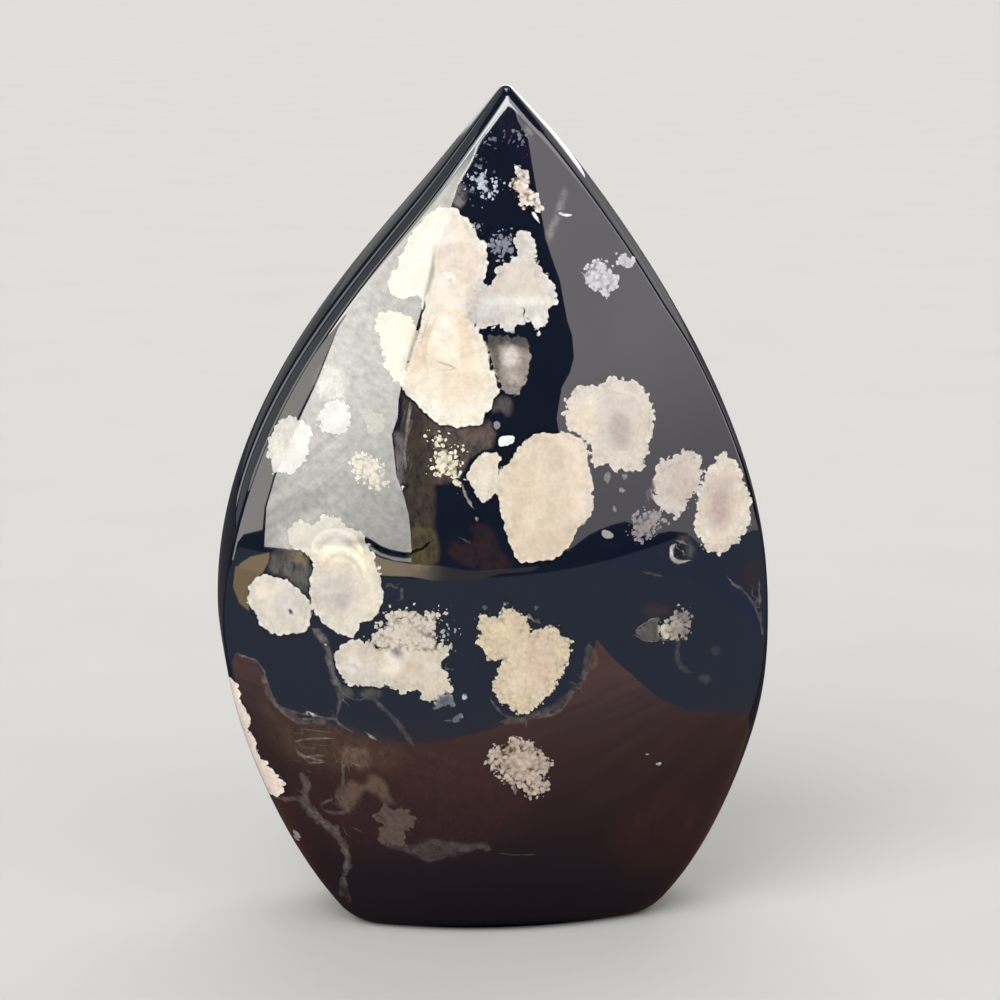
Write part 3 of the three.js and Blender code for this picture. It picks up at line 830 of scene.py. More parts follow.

# Thin veins, and painted glints and a painted highlight drawn as lines: how bright they are, their width
# in picture points and their path.
VEINS_AND_GLINTS = [
    (0.10, 3.0, [(340, 690), (348, 697), (358, 700), (369, 697)]),
    (0.10, 5.0, [(337, 690), (340, 703), (336, 718)]),
    (0.085, 7.0, [(262, 668), (268, 690), (281, 710), (303, 722), (328, 722)]),
    (0.085, 6.0, [(372, 697), (382, 707), (392, 716), (400, 726), (408, 738), (414, 746)]),
    (0.12, 3.0, [(237, 654), (256, 661), (263, 670), (267, 682), (271, 696), (277, 707), (288, 716),
                 (299, 723), (317, 721)]),
    (0.10, 3.0, [(279, 706), (291, 711), (307, 715), (322, 718), (335, 719), (342, 726), (355, 733)]),
    (0.55, 3.0, [(306, 711), (319, 716)]),
    (0.35, 3.5, [(366, 733), (378, 741)]),
    (0.16, 2.5, [(293, 741), (308, 739), (335, 738)]),
    (0.17, 3.5, [(296, 748), (300, 755), (309, 757), (319, 755), (326, 757)]),
    (0.14, 2.5, [(303, 763), (312, 763), (326, 762)]),
    (0.15, 3.5, [(351, 763), (364, 767)]),
    (0.10, 3.0, [(358, 749), (344, 750)]),
    (0.09, 5.0, [(344, 750), (343, 767), (343, 784), (336, 794), (334, 800)]),
    (0.20, 2.5, [(351, 765), (359, 766)]),
    (0.085, 4.0, [(318, 806), (330, 800), (342, 799), (348, 807), (346, 812), (332, 813), (321, 808)]),
    (0.062, 9.0, [(380, 842), (398, 847), (415, 850), (430, 844), (449, 845), (466, 849), (480, 846),
                  (492, 850)]),
    (0.06, 4.0, [(416, 852), (428, 860), (448, 856)]),
    (0.06, 2.5, [(497, 853), (516, 855), (537, 854)]),
    (0.105, 10.5, [(300, 772), (307, 785), (304, 797), (310, 810), (322, 821), (334, 830), (342, 842),
                   (347, 855), (347, 867), (343, 878), (341, 886)]),
    (0.05, 7.0, [(342, 874), (341, 890), (344, 902)]),
    (0.05, 3.5, [(345, 878), (348, 893), (351, 906)]),
    (0.09, 6.0, [(274, 797), (289, 799), (299, 798), (304, 795)]),
    (0.12, 3.5, [(352, 827), (364, 833)]),
    (0.45, 3.5, [(462, 484), (465, 494), (473, 508)]),
    (0.24, 4.0, [(411, 399), (408, 425), (405, 448), (406, 470)]),
    (0.03, 3.0, [(414, 418), (413, 430)]),
    (0.03, 3.5, [(410, 448), (414, 460), (418, 474)]),
    (0.00, 2.5, [(399, 385), (397, 410), (395, 427), (392, 438), (395, 458), (397, 482)]),
    (0.00, 4.0, [(366, 538), (380, 548), (392, 552), (403, 553.5), (413, 552), (423, 548), (433, 539)]),
    (0.02, 2.5, [(474, 540), (484, 546), (497, 551)]),
    (0.07, 2.5, [(458, 537), (466, 541), (474, 545)]),
    (0.35, 3.0, [(727, 577), (737, 589)]),
    (0.12, 3.0, [(728, 580), (743, 590), (753, 603), (759, 617), (763, 635)]),
    (0.12, 3.0, [(759, 578), (760, 609), (763, 635)]),
    (0.09, 3.0, [(490, 698), (500, 712), (511, 717), (533, 718), (559, 712), (571, 696), (581, 680)]),
    (0.075, 9.0, [(589, 642), (588, 660), (583, 678), (570, 694), (552, 708), (528, 718), (500, 722)]),
    (0.07, 6.0, [(592, 646), (596, 660), (590, 672)]),
    (0.06, 7.0, [(680, 640), (677, 652), (680, 666), (692, 673)]),
    (0.25, 2.5, [(633, 633), (645, 623), (657, 617)]),
    (0.20, 2.0, [(634, 634), (646, 641), (658, 641)]),
    (0.14, 9.0, [(312, 628), (327, 645), (330, 665), (340, 690)]),
    (0.09, 3.5, [(385, 588), (390, 583), (394, 588), (399, 583)]),
    (0.08, 4.0, [(405, 587), (400, 592), (404, 596), (398, 601)]),
    # The small pit's rim, painted as a highlight
    (0.70, 5.0, [(676, 543), (672, 548), (671, 555), (675, 560.5), (683, 562), (690, 560)]),
    (0.35, 3.5, [(676, 543), (682, 542), (688, 545)]),
    (0.07, 2.5, [(640, 571), (652, 574), (664, 576)]),
    # A painted glint
    (0.80, 3.0, [(662, 640), (668, 640)]),
]

# Faint lines inside blossoms: how much lighter or darker, width in picture points and path.
CREASES = [
    (-0.90, 4.0, [(425, 300), (424, 307), (422, 314)]),
    (-0.60, 3.0, [(421, 316), (420, 325), (418, 335)]),
    (-0.30, 3.0, [(436, 361), (445, 364), (458, 369)]),
    (-0.10, 6, [(437, 316), (428, 335), (424, 355), (428, 374)]),
    (-0.06, 4, [(412, 388), (430, 378), (455, 375), (478, 382), (490, 396)]),
    (-0.85, 2.6, [(521, 307), (525, 310), (523, 314), (524, 318)]),
    (-0.60, 2.6, [(526, 317), (531, 321)]),
    (-0.95, 4.0, [(588, 452), (589, 460), (592, 470)]),
    (-0.40, 2.4, [(563, 429), (572, 434), (583, 439), (586, 449)]),
    (-0.85, 3.0, [(703, 471), (704, 479)]),
    (-0.85, 3.0, [(697, 491), (696, 496), (699, 501)]),
    (-0.80, 3.0, [(661, 509), (663, 519)]),
    (0.40, 6, [(312, 550), (317, 538), (329, 531), (345, 532), (357, 542), (363, 555)]),
    (-0.24, 4, [(318, 553), (323, 543), (335, 537), (347, 541), (356, 551)]),
    (0.22, 6, [(321, 561), (329, 549), (344, 548), (358, 558), (367, 573)]),
    (-0.15, 5, [(324, 566), (334, 556), (347, 556), (358, 567), (363, 580)]),
    (-0.08, 3, [(594, 402), (610, 393), (633, 398), (641, 415), (636, 440)]),
    (0.06, 3, [(600, 440), (614, 452), (632, 450)]),
]

PATH_STEPS = 4  # of a smooth path between two points
NO_LENGTH = 1e-9  # these two stand in for zero where something is divided by it
NO_SIZE = 1e-6


def round_path(points, closed=True):
    """A smooth path through points."""
    points = np.asarray(points, float)
    if closed:
        padded = np.vstack([points[-1:], points, points[:2]])
    else:
        padded = np.vstack([2 * points[0] - points[1], points, 2 * points[-1] - points[-2]])
    path = []
    for a, b, c, d in zip(padded, padded[1:], padded[2:], padded[3:]):
        for t in np.arange(PATH_STEPS) / PATH_STEPS:
            path.append(0.5 * (2 * b + (c - a) * t + (2 * a - 5 * b + 4 * c - d) * t**2
                               + (3 * b - a - 3 * c + d) * t**3))
    path.append(padded[-2])
    return np.array(path)


def nearest_on(points, path):
    """How far each point is from a path, the nearest place on it and the side: 1 or -1."""
    gap = np.full(len(points), np.inf)
    place = np.zeros_like(points)
    side = np.ones(len(points))
    for a, b in zip(path, path[1:]):
        along = b - a
        away = points - a
        share = np.clip(away @ along / max(along @ along, NO_LENGTH), 0, 1)
        spot = a + share[:, None] * along
        far = np.linalg.norm(points - spot, axis=1)
        closer = far < gap
        gap[closer] = far[closer]
        place[closer] = spot[closer]
        side[closer] = np.where(away[:, 0] * along[1] < away[:, 1] * along[0], -1, 1)[closer]
    return gap, place, side


def inside(points, path):
    """Whether each point lies within a closed path."""
    odd = np.zeros(len(points), bool)
    for a, b in zip(path, path[1:]):
        crosses = (a[1] > points[:, 1]) != (b[1] > points[:, 1])
        rise = b[1] - a[1] if b[1] != a[1] else NO_LENGTH
        odd ^= crosses & (points[:, 0] < a[0] + (points[:, 1] - a[1]) * (b[0] - a[0]) / rise)
    return odd


DRAWN_DEPTH = 22  # millimetres: no drawn marking reaches further behind the front face
DEEP_ROUNDING = 4.0  # millimetres, where a drawn blossom ends on the band
DEEP_SWING = 0.35  # of the rounding: how far that end wanders
DEEP_SWING_LENGTH = 1.3  # millimetres of height in a radian of that wandering
BLOSSOMS_APART = 7.0  # keeps the fringe of each blossom unlike the others'
LINE_REACH = 1.5  # millimetres
LINE_FADE = (0.7, 1.2)  # a line thins out between these distances from its path, in millimetres
LINE_TAPER = (-0.1, 0.8)  # and between these distances from its ends
LUMP_UNEVEN = 0.28  # of its radius: how far an invented blossom's outline swings
LUMP_LOBES = (2, 3, 5)
LUMP_START = (1.0, 2.0, 3.0)  # turns the lobes by where the blossom is
LUMP_SQUEEZE = 0.14  # how far it is from round
LUMP_SQUEEZE_STEP = 2.4  # radians from one to the next
LUMP_FLATNESS = 0.8  # its depth in the stone, in radii


class Markings:
    """Values at every point of the stone that its material reads."""

    reach = 6.0  # beyond this many millimetres a marking leaves no trace

    def __init__(self, points):
        self.points = points
        count = len(points)
        self.picture = to_picture(points)
        self.behind = points[:, 1] - front_y(points[:, 0], points[:, 2])
        self.bloom_and_glint = np.full(count, self.reach)
        self.dots = np.full(count, self.reach)
        self.outline = points.copy()
        self.tint = np.ones((count, 3))
        self.kind = np.tile(SMOOTH[:3], (count, 1))
        self.opacity = np.ones(count)
        self.stain_and_shade = np.zeros((count, 4))
        self.vein_and_glint = np.tile((self.reach, 0.0, 0.0), (count, 1))
        self.crease = self.vein_and_glint.copy()

    def near(self, path, margin):
        margin = margin * POINTS_PER_MM
        low, high = path.min(axis=0) - margin, path.max(axis=0) + margin
        within = np.all((self.picture > low) & (self.picture < high), axis=1)
        return np.flatnonzero(within & (self.behind < DRAWN_DEPTH))

    def field(self, outline, depth=1.5, margin=6.0):
        """The points near a drawn outline, their distance to it and their nearest places on it.

        Depth is how far behind the front face the marking reaches, round the edge and along the band.
        """
        path = round_path(outline)
        which = self.near(path, margin)
        gap, place, _ = nearest_on(self.picture[which], path)
        gap = np.where(inside(self.picture[which], path), -gap, gap) / POINTS_PER_MM
        rounding = min(depth, DEEP_ROUNDING)
        across, deep = gap + rounding, self.behind[which] - depth + rounding
        deep = deep + rounding * DEEP_SWING * np.sin(self.points[which, 2] / DEEP_SWING_LENGTH)
        gap = np.hypot(np.maximum(across, 0), np.maximum(deep, 0)) - rounding
        gap += np.minimum(np.maximum(across, deep), 0)
        return which, gap, place / POINTS_PER_MM

    def paint(self, which, gap, place, kind, tint):
        nearer = gap < self.bloom_and_glint[which]
        which, gap, place = which[nearer], gap[nearer], place[nearer]
        self.bloom_and_glint[which] = gap
        self.outline[which] = place
        self.tint[which] = tint
        self.kind[which] = kind[:3]
        self.opacity[which] = kind[3]

    def add_drawn(self, number, kind, tint, depth, outline):
        which, gap, place = self.field(outline, depth)
        place = np.column_stack([place, np.full(len(place), BLOSSOMS_APART * number)])
        self.paint(which, gap, place, kind, tint)

    def add_lump(self, middle, radii, kind, tint):
        """A blossom of uneven outline anywhere on the stone."""
        away = (self.points - middle) / radii
        size = np.linalg.norm(away, axis=1)
        pull = np.maximum(np.linalg.norm(away / radii, axis=1), NO_SIZE)
        turn = np.arctan2(away[:, 2], away[:, 0] + away[:, 1])
        start = middle @ LUMP_START
        uneven = sum(np.sin(lobes * turn + lobes * start) / lobes for lobes in LUMP_LOBES)
        gap = size * (size - 1) / pull + LUMP_UNEVEN * radii.mean() * uneven
        which = np.flatnonzero(gap < self.reach)
        place = middle + away[which] * radii / np.maximum(size[which], NO_SIZE)[:, None]
        self.paint(which, gap[which], place, kind, tint)

    def add_tone(self, times, softness, outline):
        which, gap, _ = self.field(outline, margin=2)
        share = 1 - smooth(gap, -softness, softness)
        self.tint[which] *= mix(1.0, np.array(times), share[:, None])

    def add_dot(self, outline):
        which, gap, _ = self.field(outline, margin=2)
        self.dots[which] = np.minimum(self.dots[which], gap)

    def add_stain_and_shade(self, colour, strength, softness, outline):
        which, gap, _ = self.field(outline, margin=3)
        share = strength * (1 - smooth(gap, -softness, softness))
        self.stain_and_shade[which] = mix(self.stain_and_shade[which], (*colour, 1.0), share[:, None])

    def unmixed_stain_and_shade(self):
        """The colours of the stains and of the painted shade, no longer mixed with the clear body's
        zero.
        """
        colours = self.stain_and_shade[:, :3] / np.maximum(self.stain_and_shade[:, 3:], NO_SIZE)
        return np.column_stack([colours, self.stain_and_shade[:, 3]])

    def add_line(self, lines, bright, width, points):
        path = round_path(points, closed=False)
        which = self.near(path, LINE_REACH)
        which = which[self.behind[which] < LINE_REACH]
        gap, place, side = nearest_on(self.picture[which], path)
        gap = gap / POINTS_PER_MM
        ends = [np.linalg.norm(place - end, axis=1) / POINTS_PER_MM for end in (path[0], path[-1])]
        taper = smooth(np.minimum(*ends), *LINE_TAPER)
        thick = width / 2 / POINTS_PER_MM * taper * (1 - smooth(gap, *LINE_FADE))
        nearer = gap < np.abs(lines[which, 0])
        lines[which[nearer]] = np.stack([side * gap, thick, np.full(len(gap), bright)], -1)[nearer]


IVORY = (0.80, 0.71, 0.58)
CREAM = (0.72, 0.61, 0.48)
WHITE = (0.70, 0.64, 0.56)
ROSE = (0.60, 0.51, 0.44)
SAND = (0.64, 0.53, 0.38)
TAUPE = (0.42, 0.35, 0.28)
BLUE = (0.52, 0.54, 0.60)

# Invented blossoms on the back, which the view doesn't show: x, height, radius, kind and colour.
BACK_BLOSSOMS = [
    (3.0, 88.5, 2.2, FRILLED, WHITE),
    (-3.5, 80.0, 4.2, SMOOTH, IVORY),
    (5.5, 77.0, 2.4, CRUMBLED, BLUE),
    (-8.5, 72.5, 2.6, FRILLED, WHITE),
    (9.0, 67.0, 5.0, SMOOTH, CREAM),
    (14.0, 61.5, 2.9, GRANULAR, ROSE),
    (-14.0, 62.0, 3.6, GRANULAR, CREAM),
    (-3.0, 60.5, 1.6, HAZY, TAUPE),
    (22.5, 52.0, 3.6, FRILLED, ROSE),
    (-22.0, 50.5, 4.4, FRILLED, WHITE),
    (-17.0, 45.5, 3.2, FEATHERY, ROSE),
    (1.5, 47.5, 5.4, KNOBBLY, SAND),
    (7.0, 42.0, 3.6, KNOBBLY, SAND),
    (25.0, 37.0, 4.3, GRANULAR, CREAM),
    (-8.0, 34.0, 2.6, GRANULAR, TAUPE),
    (-26.0, 34.5, 3.0, FRILLED, ROSE),
    (15.0, 27.5, 4.8, FRILLED, WHITE),
    (-14.5, 21.5, 4.0, SMOOTH, CREAM),
    (-20.0, 24.0, 2.2, CRUMBLED, BLUE),
    (3.5, 18.0, 3.0, GRANULAR, TAUPE),
    (19.0, 14.5, 2.5, FEATHERY, ROSE),
]
# And on the band: side, height, depth behind the middle plane, radius, kind and colour.
BAND_BLOSSOMS = [
    (1, 84.0, 3.5, 2.0, FRILLED, WHITE),
    (1, 67.0, 5.0, 2.8, FRILLED, WHITE),
    (1, 54.0, 7.0, 3.0, GRANULAR, CREAM),
    (1, 38.0, 7.5, 4.2, SMOOTH, IVORY),
    (1, 22.0, 7.0, 3.0, GRANULAR, TAUPE),
    (-1, 70.0, 5.5, 2.6, GRANULAR, CREAM),
    (-1, 52.0, 7.0, 3.2, FRILLED, ROSE),
    (-1, 34.0, 6.5, 3.6, FRILLED, WHITE),
    (-1, 15.0, 6.0, 3.2, GRANULAR, TAUPE),
]


def band_x(side, height):
    flank = right_flank if side > 0 else left_flank
    heights = flank.line[:, 1]
    return np.interp(-height, -heights, flank.line[:, 0])


def mark(points):
    """All the markings, drawn and invented, at the points of the stone."""
    markings = Markings(points)
    for number, blossom in enumerate(BLOSSOMS_AND_GLINTS):
        markings.add_drawn(number, *blossom)
    for tone in TONES:
        markings.add_tone(*tone)
    for dot in DOTS:
        markings.add_dot(oval(*dot))
    for stain_and_shade in STAINS_AND_PAINTED_SHADE:
        markings.add_stain_and_shade(*stain_and_shade)
    for vein_and_glint in VEINS_AND_GLINTS:
        markings.add_line(markings.vein_and_glint, *vein_and_glint)
    for crease in CREASES:
        markings.add_line(markings.crease, *crease)
    for number, (x, z, radius, kind, tint) in enumerate(BACK_BLOSSOMS):
        y = face_depth(x, z, BACK_DEPTH)
        squeeze = 1 + LUMP_SQUEEZE * math.sin(LUMP_SQUEEZE_STEP * number)
        radii = np.array([radius * squeeze, LUMP_FLATNESS * radius, radius / squeeze])
        markings.add_lump(np.array([x, y, z]), radii, kind, tint)
    for side, z, y, radius, kind, tint in BAND_BLOSSOMS:
        markings.add_lump(np.array([band_x(side, z), y, z]), np.full(3, radius), kind, tint)
    return markings


# Materials

# The numbers of a Mix node's sockets when it mixes colours
MIX_SHARE = 0
MIX_FIRST = 6
MIX_SECOND = 7
MIX_RESULT = 2


class Nodes:
    """Short ways to build a node tree."""

    def __init__(self, material):
        material.use_nodes = True
        self.tree = material.node_tree
        self.tree.nodes.clear()

    def node(self, kind, **settings):
        node = self.tree.nodes.new(kind)
        for name, value in settings.items():
            setattr(node, name, value)
        return node

    def put(self, socket, value):
        if isinstance(value, bpy.types.NodeSocket):
            self.tree.links.new(value, socket)
        elif isinstance(value, (tuple, list)) and socket.type == "RGBA":
            socket.default_value = (*value[:3], 1)
        else:
            socket.default_value = value

    def math(self, operation, *values, clamp=False):
        node = self.node("ShaderNodeMath", operation=operation, use_clamp=clamp)
        for socket, value in zip(node.inputs, values):
            self.put(socket, value)
        return node.outputs[0]

    def add(self, a, b):
        return self.math("ADD", a, b)

    def times(self, a, b):
        return self.math("MULTIPLY", a, b)

    def linear(self, value, slope, offset):
        return self.math("MULTIPLY_ADD", value, slope, offset)

    def fade(self, value, start, end):
        """1 where value is at start or beyond it, falling to 0 at end."""
        node = self.node("ShaderNodeMapRange", interpolation_type="SMOOTHSTEP")
        for socket, number in zip(node.inputs, (value, start, end, 1.0, 0.0)):
            self.put(socket, number)
        return node.outputs[0]

    def blend(self, share, a, b, kind="MIX"):
        node = self.node("ShaderNodeMix", data_type="RGBA", blend_type=kind, clamp_factor=True)
        self.put(node.inputs[MIX_SHARE], share)
        self.put(node.inputs[MIX_FIRST], a)
        self.put(node.inputs[MIX_SECOND], b)
        return node.outputs[MIX_RESULT]

    def scaled(self, vector, scale):
        node = self.node("ShaderNodeVectorMath", operation="MULTIPLY")
        self.put(node.inputs[0], vector)
        self.put(node.inputs[1], scale)
        return node.outputs[0]

    def add_vectors(self, a, b):
        node = self.node("ShaderNodeVectorMath", operation="ADD")
        self.put(node.inputs[0], a)
        self.put(node.inputs[1], b)
        return node.outputs[0]

    def grey(self, value):
        node = self.node("ShaderNodeCombineColor")
        for socket in node.inputs:
            self.put(socket, value)
        return node.outputs[0]

    def noise(self, vector, scale, detail=2.0, roughness=0.5, output="Fac"):
        node = self.node("ShaderNodeTexNoise")
        for name, value in (("Vector", vector), ("Scale", scale), ("Detail", detail),
                            ("Roughness", roughness)):
            self.put(node.inputs[name], value)
        return node.outputs[output]

    def waver(self, vector, scale, detail=2.0, roughness=0.5):
        """Noise about zero, from -1 to 1."""
        return self.linear(self.noise(vector, scale, detail, roughness), 2.0, -1.0)

    def cells(self, vector, scale):
        """Packed cells: distance from the middle, a number of each cell's own, distance to the gap."""
        outputs = []
        for feature in ("F1", "DISTANCE_TO_EDGE"):
            node = self.node("ShaderNodeTexVoronoi", feature=feature)
            self.put(node.inputs["Vector"], vector)
            self.put(node.inputs["Scale"], scale)
            outputs.append(node.outputs)
        middle, gap = outputs
        return middle["Distance"], self.parts(middle["Color"])[0], gap["Distance"]

    def around_one(self, value, swing):
        """A value from 0 to 1 turned into a factor that swings about 1."""
        return self.linear(value, swing, 1 - swing / 2)

    def turned(self, vector, degrees):
        """The vector turned about the line from front to back."""
        node = self.node("ShaderNodeVectorRotate", rotation_type="Y_AXIS")
        self.put(node.inputs["Vector"], vector)
        node.inputs["Angle"].default_value = math.radians(degrees)
        return node.outputs[0]

    def value(self, name):
        return self.node("ShaderNodeAttribute", attribute_name=name).outputs["Fac"]

    def vector(self, name):
        return self.node("ShaderNodeAttribute", attribute_name=name).outputs["Vector"]

    def parts(self, vector):
        node = self.node("ShaderNodeSeparateXYZ")
        self.put(node.inputs[0], vector)
        return node.outputs

    def output(self, shader):
        self.tree.links.new(shader, self.node("ShaderNodeOutputMaterial").inputs["Surface"])


# Colours and measures of the agate
NAVY = (0.0055, 0.0088, 0.0205)
SLATE = (0.0080, 0.0105, 0.0190)
FOOT_VIOLET = (0.0120, 0.0088, 0.0130)
UMBER = (0.058, 0.042, 0.034)
THREAD_TAUPE = (0.105, 0.092, 0.088)
VEIN_AND_GLINT_TAUPE = (1.0, 0.86, 0.82)
DOT_DARK = (0.055, 0.047, 0.044)
HALO_SHADE = (0.004, 0.004, 0.006)
COOL_CLOUD = (1.02, 1.03, 1.05)  # these three are times a blossom's own colour
WARM_CLOUD = (0.99, 0.975, 0.95)
PALE_RIM = (1.10, 1.17, 1.28)
BACK_DEPTHS = (8.0, -2.0)  # behind the middle plane: brown and threads are full here, and gone there
FOOT_HEIGHTS = (22.0, 30.0)  # the foot's violet is full up to here, and gone there
# Distances to a blossom's outline, negative inside it, where an effect is full and where it is gone
EDGE_FADE = (-0.07, 0.06)
DOT_FADE = (-0.10, 0.10)
HALO_FADE = (0.12, 0.42)
PALE_RIM_FADE = (-0.05, -0.55)
LOBED_RIM_FADE = (-0.15, -1.4)
PITTED_RIM_FADE = (-0.3, -2.4)
HALO_OPACITIES = (0.96, 0.82)  # the halo is full round a blossom this opaque, and gone round that
THINNEST = 0.001  # half the width of a line, in millimetres
LOBE_SCALE = 1.2
CRUMB_SCALE = 1.85
SHAKE = (0.6, 0.6, 0.6)
JOLT = (0.32, 0.32, 0.32)
AGATE_IOR = 1.54
POLISH_ROUGHNESS = 0.018
BLOSSOM_ROUGHNESS = 0.03  # on top of the polish's
GRAIN_ROUGHNESS = 0.06
MM_IN_METRE = 1000.0


def dark_body(n, place):
    """Navy and slate, violet at the foot, with brown mottling and thin threads towards the back."""
    _, depth, height = n.parts(place)
    body = n.blend(n.noise(place, 0.16, 4.0, 0.6), NAVY, SLATE)
    behind = n.fade(depth, *BACK_DEPTHS)
    mottled = n.around_one(n.noise(place, 0.9, 5.0, 0.7), 1.2)
    umber = n.times(n.fade(n.noise(place, 0.07, 5.0, 0.62), 0.60, 0.52), behind)
    body = n.blend(umber, body, n.scaled(UMBER, mottled))
    ridge = n.math("ABSOLUTE", n.waver(place, 0.045, 4.0, 0.55))
    thread = n.times(n.fade(ridge, 0.0, 0.022), n.fade(n.noise(place, 0.12, 3.0), 0.56, 0.46))
    body = n.blend(n.times(thread, behind), body, n.scaled(THREAD_TAUPE, mottled))
    wander = n.times(n.waver(place, 0.10, 3.0), 4.0)
    return n.blend(n.fade(n.add(height, wander), *FOOT_HEIGHTS), body, FOOT_VIOLET)


def stained_and_shaded(n, place, body):
    """The drawn stains and painted shade over the body, broken up into patches."""
    layer = n.node("ShaderNodeAttribute", attribute_name="stain_and_shade")
    drawn_out = n.scaled(place, (1.4, 1.4, 0.9))
    patchy = n.linear(n.waver(drawn_out, 0.8, 5.0, 0.72), 1.7, 0.86)
    share = n.math("MULTIPLY", layer.outputs["Alpha"], patchy, clamp=True)
    return n.blend(share, body, layer.outputs["Color"])


def veined_with_glints(n, place, body):
    """The drawn veins, and glints and highlights painted as lines, over the body, uneven in width and
    brightness.
    """
    side, thick, bright = n.parts(n.vector("vein_and_glint"))
    wobble = n.times(n.waver(place, 1.3, 4.0, 0.6), 0.22)
    gap = n.math("ABSOLUTE", n.add(side, wobble))
    thick = n.times(thick, n.linear(n.waver(place, 0.8, 3.0), 1.3, 1.0))
    line = n.math("SUBTRACT", 1.0, n.math("DIVIDE", gap, n.math("MAXIMUM", thick, THINNEST)))
    line = n.times(n.math("MULTIPLY", line, 1.5, clamp=True), 0.9)
    mottled = n.around_one(n.fade(n.noise(place, 1.8, 3.0, 0.6), 0.40, 0.60), 0.8)
    patchy = n.linear(n.fade(n.noise(place, 0.9, 4.0, 0.7), 0.54, 0.42), 0.6, 0.4)
    line = n.times(line, patchy)
    return n.blend(line, body, n.scaled(VEIN_AND_GLINT_TAUPE, n.times(bright, mottled)))


def petals_and_glints(n, place, edge, grain, lobes, crumbs):
    """Colour of the blossoms, and of the glints painted like them, from their distance to the outline.
    """
    tint = n.vector("tint")
    near_rim = n.fade(edge, *LOBED_RIM_FADE)
    cloud = n.fade(n.noise(place, 0.40, 3.0, 0.55), 0.42, 0.60)
    colour = n.blend(cloud, n.scaled(tint, COOL_CLOUD), n.scaled(tint, WARM_CLOUD))
    rim = n.times(n.fade(edge, *PALE_RIM_FADE), 0.6)
    colour = n.blend(rim, colour, n.scaled(tint, PALE_RIM))

    patch = n.around_one(n.fade(n.noise(place, 0.6, 4.0, 0.6), 0.42, 0.58), 0.09)
    fine = n.around_one(n.noise(place, 2.6, 4.0, 0.7), 0.24)
    fibres = n.around_one(n.noise(n.vector("outline"), 1.3, 3.0, 0.6), 0.18)
    shade = n.times(n.times(patch, fine), fibres)
    lump = n.around_one(lobes[1], 0.11)
    seam = n.times(n.fade(lobes[2], 0.0, 0.30), -0.12)
    shade = n.add(shade, n.times(n.add(n.add(lump, seam), -1.0), near_rim))
    sugar = n.linear(crumbs[1], 0.26, -0.13)
    mounds = n.linear(crumbs[0], -0.38, 0.14)
    rough = n.linear(n.fade(n.noise(place, 1.1, 3.0, 0.6), 0.56, 0.44), 0.75, 0.25)
    rough = n.times(rough, n.linear(n.fade(edge, *PITTED_RIM_FADE), 0.75, 0.25))
    pits = n.times(n.fade(crumbs[0], 0.66, 0.44), n.times(rough, -0.75))
    shade = n.add(shade, n.times(n.add(n.add(sugar, mounds), pits), grain))

    side, thick, change = n.parts(n.vector("crease"))
    gap = n.math("ABSOLUTE", n.add(side, n.times(n.waver(place, 1.2, 3.0), 0.2)))
    line = n.math("SUBTRACT", 1.0, n.math("DIVIDE", gap, n.math("MAXIMUM", thick, THINNEST)), clamp=True)
    line = n.math("MULTIPLY", line, 1.6, clamp=True)
    shade = n.times(shade, n.linear(line, change, 1.0))
    return n.blend(1.0, colour, n.grey(shade), "MULTIPLY")


def agate_material():
    material = bpy.data.materials.new("polished_agate_looks")
    n = Nodes(material)
    object_place = n.node("ShaderNodeTexCoord").outputs["Object"]
    place = n.scaled(object_place, (MM_IN_METRE, MM_IN_METRE, MM_IN_METRE))
    body = veined_with_glints(n, place, stained_and_shaded(n, place, dark_body(n, place)))

    shaken = n.add_vectors(place, n.scaled(n.noise(place, 1.5, output="Color"), SHAKE))
    lobes = n.cells(shaken, LOBE_SCALE)
    jolted = n.add_vectors(shaken, n.scaled(n.noise(place, 4.5, output="Color"), JOLT))
    crumbs = n.cells(jolted, CRUMB_SCALE)
    fringe, lace, grain = n.parts(n.vector("kind"))
    wander = n.times(n.waver(n.vector("outline"), 0.85, 3.0, 0.6), 0.7)
    lobed = n.linear(lobes[0], 1.6, -0.75)
    broken = n.linear(crumbs[0], 1.5, n.linear(crumbs[1], 0.9, -1.1))
    edge = n.add(n.value("bloom_and_glint"), n.times(fringe, n.add(wander, lobed)))
    edge = n.add(edge, n.times(lace, broken))
    cover = n.times(n.fade(edge, *EDGE_FADE), n.value("opacity"))
    petal_and_glint = petals_and_glints(n, place, edge, grain, lobes, crumbs)
    petal_and_glint = n.blend(n.fade(n.value("dots"), *DOT_FADE), petal_and_glint, DOT_DARK)

    # A dark rim round opaque blossoms: partly their own dark rind, partly a painted contact shadow
    halo_shade = n.fade(edge, *HALO_FADE)
    halo_shade = n.times(halo_shade, n.times(n.fade(n.value("opacity"), *HALO_OPACITIES), 0.75))
    body = n.blend(halo_shade, body, HALO_SHADE)
    shader = n.node("ShaderNodeBsdfPrincipled")
    n.put(shader.inputs["Base Color"], n.blend(cover, body, petal_and_glint))
    shader.inputs["IOR"].default_value = AGATE_IOR
    dull = n.linear(grain, GRAIN_ROUGHNESS, BLOSSOM_ROUGHNESS)
    n.put(shader.inputs["Roughness"], n.linear(cover, dull, POLISH_ROUGHNESS))
    n.output(shader.outputs[0])
    return material


